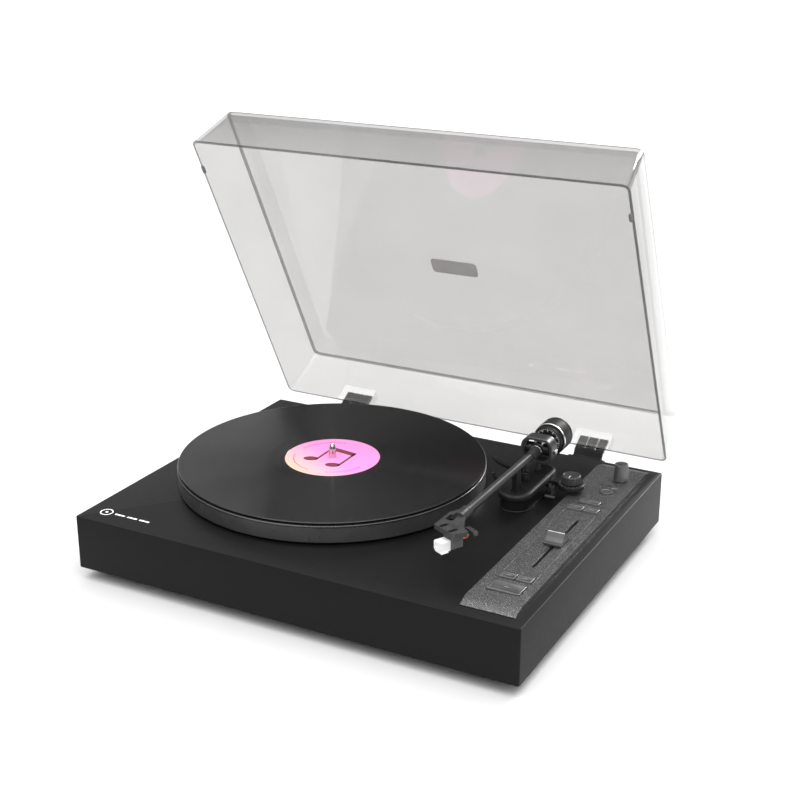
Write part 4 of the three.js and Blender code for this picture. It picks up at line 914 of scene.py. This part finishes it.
sleeve = lathe(
    [(0, 80.6), (5.4, 80.6), (5.4, 82), (6.6, 82), (7, 82.4), (7, 93), (6.6, 93.4), (0, 93.4)], steps=56,
    way=SPIN_Y
)
sleeve.transform(Matrix.Translation((128.2, 0, 40)))
left = rod(5.8, 117.2, 128.2, 0.6, way=SPIN_X, at=(0, 87.7, 40))
ribs = [(0, 128.2), (5.8, 128.2)]
for k in range(5):
    x = 134.5 + k * 0.86
    ribs += [(5.8, x), (5.25, x + 0.1), (5.25, x + 0.4), (5.8, x + 0.5)]
ribs += [(5.8, 138.8), (5.4, 139.2), (0, 139.2)]
right = lathe(ribs, steps=56, way=SPIN_X)
right.transform(Matrix.Translation((0, 87.7, 40)))
block = cut(
    join(sleeve, left, right),
    rod(4.1, 60, 100, way=SPIN_Y, at=(128.2, 0, 40)),
    rod(2.1, 112, 120, way=SPIN_X, at=(0, 87.7, 40)),
    rod(2.1, 136.4, 142, way=SPIN_X, at=(0, 87.7, 40)),
)
piece("pivot_sleeve", block, "arm", BLACK_METAL, ["pivot_block"], "black_metal", sharp=26)
cone = lathe(
    looped(
        [(4.1, 65), (4.5, 65), (4.65, 65.3), (4.75, 70), (5, 75), (5.4, 79.5), (5.4, 80.6), (4.1, 80.6)],
        0.05, 2
    ),
    steps=56, way=SPIN_Y
)
cone.transform(Matrix.Translation((128.2, 0, 40)))
piece("tube_sleeve", cone, "arm", TUBE, (), "grey", sharp=26)
bead = lathe(
    looped([(5.2, 79.4), (5.9, 79.4, 0.2), (5.9, 80.8, 0.2), (5.2, 80.8)], 0.1), steps=56, way=SPIN_Y
)
bead.transform(Matrix.Translation((128.2, 0, 40)))
piece("sleeve_bead", bead, "arm", BRIGHT, (), "steel")

run = [(0, -80), (3.6, -80), (3.8, -79.6), (3.8, 94.8), (4.2, 95.2)]
for k in range(12):
    y = 96.4 + k * 0.9
    run += [(4.2, y), (3.95, y + 0.2), (3.95, y + 0.45), (4.2, y + 0.65)]
run += [(4.2, 137), (3.6, 138), (0, 138)]
tube = lathe(run, steps=48, way=SPIN_Y)
tube.transform(Matrix.Translation((128.2, 0, 40)))
piece("tube_long", tube, "arm", TUBE, ["arm_tube"], "grey", sharp=26)

dial = lathe(
    looped([(4.6, 108.4), (13.2, 108.4, 0.2), (14.4, 109.6, 0.2), (14.4, 113.7, 0.2), (4.6, 113.7)], 0.1),
    steps=72, way=SPIN_Y
)
dial.transform(Matrix.Translation((128.2, 0, 40)))
piece("dial_band", dial, "dial_ring", BLACK, ["dial_ring"], "black", sharp=26)
marks = []
for k in range(36):
    mark = box(-0.26, 0.26, 108.34, 108.5, 11.9 if k % 3 else 10.2, 12.8)
    mark.transform(Matrix.Translation((128.2, 0, 40)) @ Matrix.Rotation(radians(10 * k), 4, "Y"))
    marks.append(mark)
piece("dial_marks", merged(*marks), "dial_ring", WHITE, (), "black")

mass = lathe(
    looped(
        [
            (4.6, 114), (15.6, 114, 0.2), (16.5, 114.9, 0.3), (16.5, 130.6), (16.15, 130.9),
            (16.15, 131.3), (16.5, 131.6), (16.5, 133.6, 0.4), (15.5, 134.6, 0.3), (12.4, 134.6, 0.2),
            (12, 133.6, 0.2), (6.4, 133.6, 0.2), (6.2, 134.6, 0.2), (4.6, 134.6)
        ],
        0.05
    ),
    steps=96, way=SPIN_Y
)
mass.transform(Matrix.Translation((128.2, 0, 40)))
piece("weight_drum", mass, "counterweight", WEIGHT, ["counterweight"], "weight", sharp=26)
bead = lathe(
    looped(
        [(15.7, 114.0), (16.1, 114.15), (16.62, 114.8), (16.62, 115.4), (16.4, 115.6), (15.7, 115.6)], 0.1
    ),
    steps=96, way=SPIN_Y
)
bead.transform(Matrix.Translation((128.2, 0, 40)))
piece("weight_bead", bead, "counterweight", BRIGHT, (), "steel")

# ------------------------------------------------------------------ headshell and cartridge
# Across the shell is X here, forward is -Y, and the middle of its front edge is the origin.
TILT = radians(26.5)
SHELL_WAY = Matrix.Translation((128.35, -120.7, 0)) @ Matrix.Rotation(-TILT, 4, "Z")
tray = prism(
    fillet(
        [
            (116.7, -114.8, 1.2), (139.9, -126.4, 4.5), (149.4, -114.9, 2), (141.4, -108.4, 3),
            (132.4, -84.4, 4), (131.8, -78, 0.5), (122.6, -78, 0.5), (117.6, -86.2, 3)
        ],
        0, 6
    ),
    38, 42.1
)
slots = []
for v in (-6.35, 6.35):
    slot = prism(rect(v - 1.9, v + 1.9, 1.1, 10.1, 1.2, 5), 36, 44)
    slot.transform(SHELL_WAY)
    slots.append(slot)
neck = lathe(
    [
        (0, -90), (4.9, -90), (5.4, -89.5), (5.4, -78), (5.15, -77.7), (5.15, -76.9), (5.4, -76.6),
        (5.4, -73.5), (4.9, -73), (0, -73)
    ],
    steps=56, way=SPIN_Y
)
neck.transform(Matrix.Translation((128.2, 0, 40)))
tray = cut(
    join(tray, neck), rod(4.1, -80.3, -60, way=SPIN_Y, at=(128.2, 0, 40)),
    prism(
        fillet([(120.4, -101.7), (126.4, -101.8), (128.2, -98.6), (126.4, -89.6), (120.4, -91)], 1, 4),
        30, 50
    ),
    *slots,
)
piece("shell_tray", tray, "arm", SHELL, ["headshell"], "grey", bevel=0.35, segments=3)

tab = prism(
    fillet(
        [
            (0, 36.4), (6.6, 36.4), (9.2, 39.2), (19.6, 39.2), (21.4, 36.9), (22.6, 37.6), (20.4, 40.4),
            (8.6, 40.4), (6, 37.5), (0, 37.5)
        ],
        0.7, 3
    ),
    -2.2, 2.2, way=Y_WAY
)
tab = boolean(tab, "INTERSECT", prism(rect(-3, 22.7, -2.2, 2.2, 2.1, 6), 30, 50))
tab.transform(Matrix.Translation((135.2, -98.6, 0)) @ Matrix.Rotation(radians(-30), 4, "Z"))
piece("finger_tab", tab, "arm", SHELL, ["finger_lift"], "grey", bevel=0.18)

body = join(
    prism(rect(-6.3, 6.3, 5, 17, 0.8, 3), 24, 34.5),
    prism(rect(-8.6, 8.6, 6, 15, 0.6, 3), 34, 37.7),
    prism(rect(-5.2, 5.2, 4.4, 5.4, 0.3, 2), 25, 33.2),
)
body = cut(
    body, box(-7, -6, 4, 18, 30.4, 30.9), box(6, 7, 4, 18, 30.4, 30.9), box(-7, 7, 16.6, 18, 30.4, 30.9)
)
body.transform(SHELL_WAY)
piece("cartridge_case", body, "arm", BODY_GREY, ["cartridge"], "black", bevel=0.22)
pins = merged(
    *[
        rod(0.45, 16.8, 18, way=SPIN_Y, at=(v, 0, z), steps=16) for v,
        z in ((4.8, 31.3), (1.6, 29.6), (-1.6, 28.2), (-4.6, 27))
    ]
)
pins.transform(SHELL_WAY)
piece("cartridge_pins", pins, "arm", GOLD, (), "steel")

guard = prism(
    fillet(
        [(-4.9, 24.6, 0.4), (-3, 22.7, 0.4), (4.9, 22.7, 0.4), (4.9, 32.4, 0.8), (-4.9, 32.4, 0.8)], 0, 4
    ),
    -6, 4.4, way=Y_WAY
)
guard = cut(guard, box(-3.7, 3.7, -4.8, 6, 23.7, 31.2), rod(2.3, -7, -5.6, way=SPIN_Y, at=(0, 0, 27.8)))
guard = join(guard, box(-2.6, 6.1, -5.9, 1.5, 22.4, 23.0))
guard.transform(SHELL_WAY)
piece("guard_shell", guard, "arm", WHITE, ["stylus_guard"], "white", bevel=0.2)
needle = merged(
    sweep([(0, 4.7, 27.5), (0, 1, 26.9), (0, -2.5, 26.5)], 0.5, 12),
    lathe([(0, 24.2), (0.16, 24.4), (0.5, 25.8), (0.5, 26.7), (0, 26.7)], 0, -1.7, 20),
)
needle.transform(SHELL_WAY)
piece("needle", needle, "arm", STEEL, ["stylus"], "steel")
for name, v, z, bow in (("red", 4.8, 31, 0.8), ("white", 1.6, 29.4, 0.2), ("green", -1.6, 28, -0.4)):
    path = [
        (v, 17.5, z), (v + bow, 20.1, z - 0.2), (v + bow * 2, 22.1, z + 2), (v + bow, 21.4, 34.2),
        (v, 18.7, 36.6)
    ]
    loop = sweep(path, 0.52, 12)
    loop.transform(SHELL_WAY)
    piece("wire_" + name, loop, "arm", WIRES[name], ["lead_" + name], name)

# ------------------------------------------------------------------ hinges
SWUNG = turned(-OPEN, "X", HINGE)
for name, cx in (("l", -140), ("r", 140)):
    plate = prism(rect(cx - 19, cx + 19, -44, -2.2, 2, 4), 177.05, 180.3, way=Y_WAY)
    cheek = [(180, -32), (186.9, -18.5)]
    cheek += [(186.9 + 7.3 * cos(radians(a)), -11.2 + 7.3 * sin(radians(a))) for a in range(-80, 91, 10)]
    cheek += [(180, -4)]
    bracket = join(
        plate,
        prism(cheek, cx - 19, cx - 15.6, way=X_WAY),
        prism(cheek, cx + 15.6, cx + 19, way=X_WAY),
    )
    bracket = cut(bracket, *[rod(3.1, 179.3, 182, way=SPIN_Y, at=(cx + x, 0, -38)) for x in (-11, 11)])
    bracket = merged(bracket, rod(2.5, cx - 18, cx + 18, way=SPIN_X, at=(0, 186.9, -11.2)))
    piece("hinge_plate_" + name, bracket, "plinth", BLACK, ["hinge_bracket_" + name], "black", bevel=0.3)
    heads = []
    for x in (-11, 11):
        head = cut(
            rod(2.9, 177.5, 180.1, 0.5, way=SPIN_Y, at=(cx + x, 0, -38)),
            box(cx + x - 2.2, cx + x + 2.2, 179.5, 181, -38.3, -37.7)
        )
        heads.append(head)
    piece("hinge_heads_" + name, merged(*heads), "plinth", STEEL, (), "steel", bevel=0.12)
    tongue = fillet(
        [
            (182.7, -11.2), (182.7, -3.6), (179.5, 0.6), (179.5, 19.6), (182.5, 19.6), (182.5, 1.9),
            (186.4, -3.2), (190.6, -11.2)
        ],
        0.3, 2
    )
    arm = join(
        rod(5.2, cx - 15.2, cx + 15.2, 0.4, way=SPIN_X, at=(0, 186.9, -11.2)),
        prism(tongue, cx - 15.2, cx + 15.2, way=X_WAY)
    )
    arm = cut(
        arm,
        rod(2.8, cx - 20, cx + 20, way=SPIN_X, at=(0, 186.9, -11.2)),
        *[prism(rect(cx + x - 0.8, cx + x + 0.8, 3.4, 30, 0.7, 3), 170, 200, way=Y_WAY) for x in (-5.6, 5.6)],
    )
    arm.transform(SWUNG)
    piece("hinge_tongue_" + name, arm, "dust_cover", BLACK, ["hinge_arm_" + name], "black", bevel=0.2)

# ------------------------------------------------------------------ dust cover
LW, LD, RIM, TALL = 224, 176.15, 2.5, 57.6


def lid_section(z, inset, corner):
    k = (z - RIM) / TALL
    x = LW - 6.8 * k - inset
    return z, rect(-x, x, -LD + 5 * k + inset, LD - 6.7 * k - inset, corner, 8)


TOP = RIM + TALL
hood = cut(
    stack(
        [
            lid_section(RIM, 0.4, 6.6), lid_section(RIM + 0.4, 0, 7), lid_section(TOP - 2.4, 0, 7),
            lid_section(TOP - 1.5, 0.25, 6.9), lid_section(TOP - 0.6, 0.95, 6.4),
            lid_section(TOP, 2.2, 5.4)
        ]
    ),
    stack(
        [
            lid_section(RIM - 1, 2.6, 4.6), lid_section(TOP - 4.2, 2.6, 4.6),
            lid_section(TOP - 3, 3.2, 4.2), lid_section(TOP - 2.6, 4.4, 3.4)
        ]
    ),
)
blocks, pockets = [], []
for cx in (-140, 140):
    blocks.append(prism(rect(cx - 20, cx + 20, 4.2, 24, 1.5, 3), 173.2, 184.6, way=Y_WAY))
    pockets.append(box(cx - 15.8, cx + 15.8, 179.1, 182.9, 3, 20))
hood = cut(join(hood, *blocks), *pockets)
hood.normal_update()
for face in hood.faces:
    z, lean = face.calc_center_median().z, face.normal.z
    middle = face.calc_center_median()
    block = 173 < middle.y < 184.8 and 3.5 < middle.z < 24.2 and abs(abs(middle.x) - 140) < 20.5
    # Faces of index 1 take the painted edge shade: the rim's underside and the top bevel.
    if (z < RIM + 0.5 and lean < -0.5) or (z > TOP - 2.3 and 0.2 < lean < 0.97):
        face.material_index = 1
    elif block:
        face.material_index = 3
    elif abs(lean) < 0.97:
        face.material_index = 2
hood.transform(SWUNG)
hood = piece("cover_shell", hood, "dust_cover", CLEAR, ["dust_cover"], "clear", sharp=30)
hood.data.materials.append(CLEAR_EDGE_SHADE)
hood.data.materials.append(CLEAR_WALL)
hood.data.materials.append(CLEAR_BLOCK)

for name, x in (("l", -221.3), ("r", 221.3)):
    pad = stack(
        [
            (z, rect(x - 1.7 + k, x + 1.7 - k, -146 + k, -137 - k, 1.6 - k, 5)) for z,
            k in ((2.2, 0), (0.8, 0), (0.3, 0.5))
        ]
    )
    pad.transform(SWUNG)
    piece("cover_pad_" + name, pad, "dust_cover", PAD, ["bumper_" + name], "rubber", sharp=50)
bx, by, z0 = -2.5, 3.2, TOP + 0.02


def plaque(inset):
    return rect(bx - 25.5 + inset, bx + 25.5 - inset, by - 9 + inset, by + 9 - inset, 4 - inset * 0.8, 6)


sign = stack(
    [
        (z0, plaque(0)), (z0 + 0.8, plaque(0)), (z0 + 1.1, plaque(0.3)), (z0 + 1.1, plaque(1.2)),
        (z0 + 0.9, plaque(1.5)), (z0 + 0.9, plaque(2.2)), (z0 + 1.1, plaque(2.5))
    ]
)
sign.transform(SWUNG)
# The plaque is thin enough to let light through from behind.
glow = PLAQUE.node_tree
thin = node(glow, "ShaderNodeBsdfTranslucent", Color=(0.8, 0.79, 0.79, 1))
through = node(glow, "ShaderNodeMixShader", Fac=0.55)
glow.links.new(glow.nodes["Principled BSDF"].outputs[0], through.inputs[1])
glow.links.new(thin.outputs[0], through.inputs[2])
glow.links.new(through.outputs[0], glow.nodes["Material Output"].inputs["Surface"])
piece("cover_plaque", sign, "dust_cover", PLAQUE, ["badge"], "badge", sharp=28)

# ------------------------------------------------------------------ rear panel
socket = join(
    prism(rect(25, 95, -39, -17, 2, 4), 177.05, 179.3, way=Y_WAY),
    prism(rect(28.5, 91.5, -36.6, -19.4, 1, 3), 169, 178, way=Y_WAY),
)
socket = cut(socket, *[rod(4.3, 178.6, 190, way=SPIN_Y, at=(x, 0, -28)) for x in (50, 70)],
             *[rod(1.8, 178.5, 190, way=SPIN_Y, at=(x, 0, -28)) for x in (30.5, 89.5)])
piece("signal_plate", socket, "plinth", BLACK, ["audio_sockets"], "black", bevel=0.2)
for name, x in (("white", 50), ("red", 70)):
    barrel = lathe(
        looped([(3.1, 179), (4.2, 179), (4.2, 188.3, 0.2), (4, 188.8, 0.2), (3.1, 188.8)], 0.1), steps=40,
        way=SPIN_Y
    )
    barrel.transform(Matrix.Translation((x, 0, -28)))
    piece("signal_barrel_" + name, barrel, "plinth", GOLD, (), "steel", sharp=28)
    core = lathe(looped([(1.3, 179), (3.05, 179), (3.05, 187.4), (1.3, 187.4)], 0.1), steps=32, way=SPIN_Y)
    core.transform(Matrix.Translation((x, 0, -28)))
    piece("signal_core_" + name, core, "plinth", WIRES[name], (), name)
    collar = lathe(
        looped([(4.3, 179.2), (6.4, 179.2, 0.2), (6.4, 180.2, 0.3), (4.3, 180.2)], 0.05), steps=40,
        way=SPIN_Y
    )
    collar.transform(Matrix.Translation((x, 0, -28)))
    piece("signal_collar_" + name, collar, "plinth", WIRES[name], (), name)
piece(
    "signal_screws",
    merged(*[rod(1.7, 178.4, 179.5, 0.3, way=SPIN_Y, at=(x, 0, -28), steps=32) for x in (30.5, 89.5)]),
    "plinth", STEEL, (), "steel"
)
switch = join(
    prism(rect(5, 23, -33, -23, 0.6, 2), 169, 171.7, way=Y_WAY),
    prism(rect(12, 16, -30, -26, 0.4, 3), 171, 179.5, way=Y_WAY)
)
switch = cut(switch, *[box(11, 17, 179.1, 180, z, z + 0.5) for z in (-29.3, -28.3, -27.3)])
piece("line_lever", switch, "line_switch", WHITE, ["line_switch"], "white", bevel=0.15)
inlet = cut(
    join(
        rod(7.6, 177.05, 179.3, 0.6, way=SPIN_Y, at=(-60, 0, -28)),
        rod(6, 164, 178, way=SPIN_Y, at=(-60, 0, -28))
    ),
    rod(3.2, 167, 185, way=SPIN_Y, at=(-60, 0, -28)), rod(5.2, 178.9, 181, way=SPIN_Y, at=(-60, 0, -28)),
)
piece("inlet_ring", inlet, "plinth", BLACK, ["power_inlet"], "black", sharp=28)
piece(
    "inlet_pin", rod(1.1, 166, 176, 0.4, way=SPIN_Y, at=(-60, 0, -28), steps=24), "plinth", STEEL, (),
    "steel"
)
thumb = stack(
    [
        (z, ribbed(0, 0, r, d, 24)) for z, r,
        d in (
            (177.8, 5.2, 0.3), (178.1, 5.5, 0.5), (184.7, 5.5, 0.5), (185.2, 5, 0.1), (185.3, 4.6, 0.001),
            (185.3, 4.2, 0.001), (185, 3.9, 0.001)
        )
    ]
)
thumb = merged(thumb, rod(2, 166, 178, steps=32))
thumb.transform(Matrix.Translation((112, 0, -28)) @ SPIN_Y)
piece("ground_thumb", thumb, "ground_screw", STEEL, ["ground_screw"], "steel", sharp=26)

# ------------------------------------------------------------------ label artwork: beamed notes and dashes
def on_label(outline):
    return prism([Vector(p) + SPIN for p in outline], 22.2, 22.28)


art = []
for x, y in ((-17, -13), (10, -17)):
    head = [
        (x + 7.4 * cos(t) * 0.94 - 5 * sin(t) * 0.34, y + 7.4 * cos(t) * 0.34 + 5 * sin(t) * 0.94)
        for t in [2 * pi * k / 36 for k in range(36)]
    ]
    art += [on_label(head), on_label([(x + 4.6, y), (x + 7.2, y), (x + 7.2, y + 34), (x + 4.6, y + 34)])]
art.append(on_label([(-12.4, 15), (17.2, 11), (17.2, 18.4), (-12.4, 22.4)]))
piece(
    "label_notes", merged(*art), "record",
    surface("print_brown", (0.14, 0.03, 0.05), 0.5, grain=(2200, 0.1)), (), "label"
)
dashes = []
for a0, a1, r in ((100, 170, 36.5), (196, 262, 37.5), (-70, -14, 37)):
    a = a0
    while a < a1:
        dashes.append(prism(band(SPIN, r, r + 1.2, a, a + 3.4, 3), 22.2, 22.28))
        a += 5.2
piece(
    "label_dashes", merged(*dashes), "record",
    surface("print_rose", (0.5, 0.05, 0.16), 0.5, grain=(2200, 0.1)), (), "label"
)

# ------------------------------------------------------------------ frame nodes that stay as they are
for name, material in (
    ("bearing_housing", STEEL), ("motor_stator", COPPER), ("motor_rotor", ALLOY), ("main_board", BOARD)
):
    kept = bpy.data.objects[name]
    kept.data.materials.clear()
    kept.data.materials.append(material)

# ------------------------------------------------------------------ camera, light, floor
DIM, OVERHEAD = 0.06, 2.2
camera = bpy.data.objects.new("camera", bpy.data.cameras.new("camera"))
scene.collection.objects.link(camera)
scene.camera = camera
camera.data.lens = 64.0
camera.data.sensor_width = 36
camera.data.clip_end = 20
AZIMUTH, ELEVATION = radians(28.02), radians(20.458)
camera.location = TO_ROW @ Vector((606.2, -1096.1, 563.6))
camera.rotation_euler = (pi / 2 - ELEVATION, 0, AZIMUTH)

floor_mesh = bpy.data.meshes.new("floor")
span = 120
floor_mesh.from_pydata(
    [(-span, -span, 0), (span, -span, 0), (span, span, 0), (-span, span, 0)], [], [(0, 1, 2, 3)]
)
floor = bpy.data.objects.new("floor", floor_mesh)
scene.collection.objects.link(floor)
pale, tree, bsdf = new_material("floor_pale")
bsdf.inputs["Base Color"].default_value = (0.66, 0.66, 0.66, 1)
bsdf.inputs["Specular IOR Level"].default_value = 0.0
bsdf.inputs["Roughness"].default_value = 0.9
floor_mesh.materials.append(pale)
floor.location.z = -0.0006

# The studio is bright overhead and dim lower down, with a pale belt at the horizon to meet the floor.
world = bpy.data.worlds.new("studio")
scene.world = world
world.use_nodes = True
sky = world.node_tree
direction = sky.nodes.new("ShaderNodeTexCoord")
parts = sky.nodes.new("ShaderNodeSeparateXYZ")
sky.links.new(direction.outputs["Generated"], parts.inputs[0])
rise = sky.nodes.new("ShaderNodeMapRange")
rise.interpolation_type = "SMOOTHSTEP"
sky.links.new(parts.outputs["Z"], rise.inputs["Value"])
for key, number in zip(("From Min", "From Max", "To Min", "To Max"), (0.3, 0.95, DIM, OVERHEAD)):
    rise.inputs[key].default_value = number
belt = sky.nodes.new("ShaderNodeMapRange")
sky.links.new(parts.outputs["Z"], belt.inputs["Value"])
for key, number in zip(("From Min", "From Max", "To Min", "To Max"), (0.04, 0.1, 1.1, 0)):
    belt.inputs[key].default_value = number
both = sky.nodes.new("ShaderNodeMath")
both.operation = "MAXIMUM"
sky.links.new(rise.outputs["Result"], both.inputs[0])
sky.links.new(belt.outputs["Result"], both.inputs[1])
sky.nodes["Background"].inputs["Color"].default_value = (1, 1, 1, 1)
sky.links.new(both.outputs["Value"], sky.nodes["Background"].inputs["Strength"])


def softbox(name, where, toward, size, power):
    light = bpy.data.objects.new(name, bpy.data.lights.new(name, "AREA"))
    scene.collection.objects.link(light)
    light.data.shape = "RECTANGLE"
    light.data.size, light.data.size_y = size
    light.data.energy = power
    light.location = where
    light.rotation_euler = (Vector(toward) - Vector(where)).to_track_quat("-Z", "Y").to_euler()
    light.visible_camera = False


softbox("back_left", (-3.6, 2.4, 1.3), (0, 0, 0.1), (3.4, 2.0), 11)
softbox("back", (1.5, 7.8, 3.9), (-0.05, 0, 0.1), (2.1, 1.5), 620)
softbox("front", (0.3, -1.7, 2.2), (0, 0, 0.05), (3.2, 3.2), 58)
softbox("right", (2.2, -0.9, 1.5), (0.1, 0, 0.05), (1.0, 1.0), 6)
scene.view_settings.view_transform = "Standard"
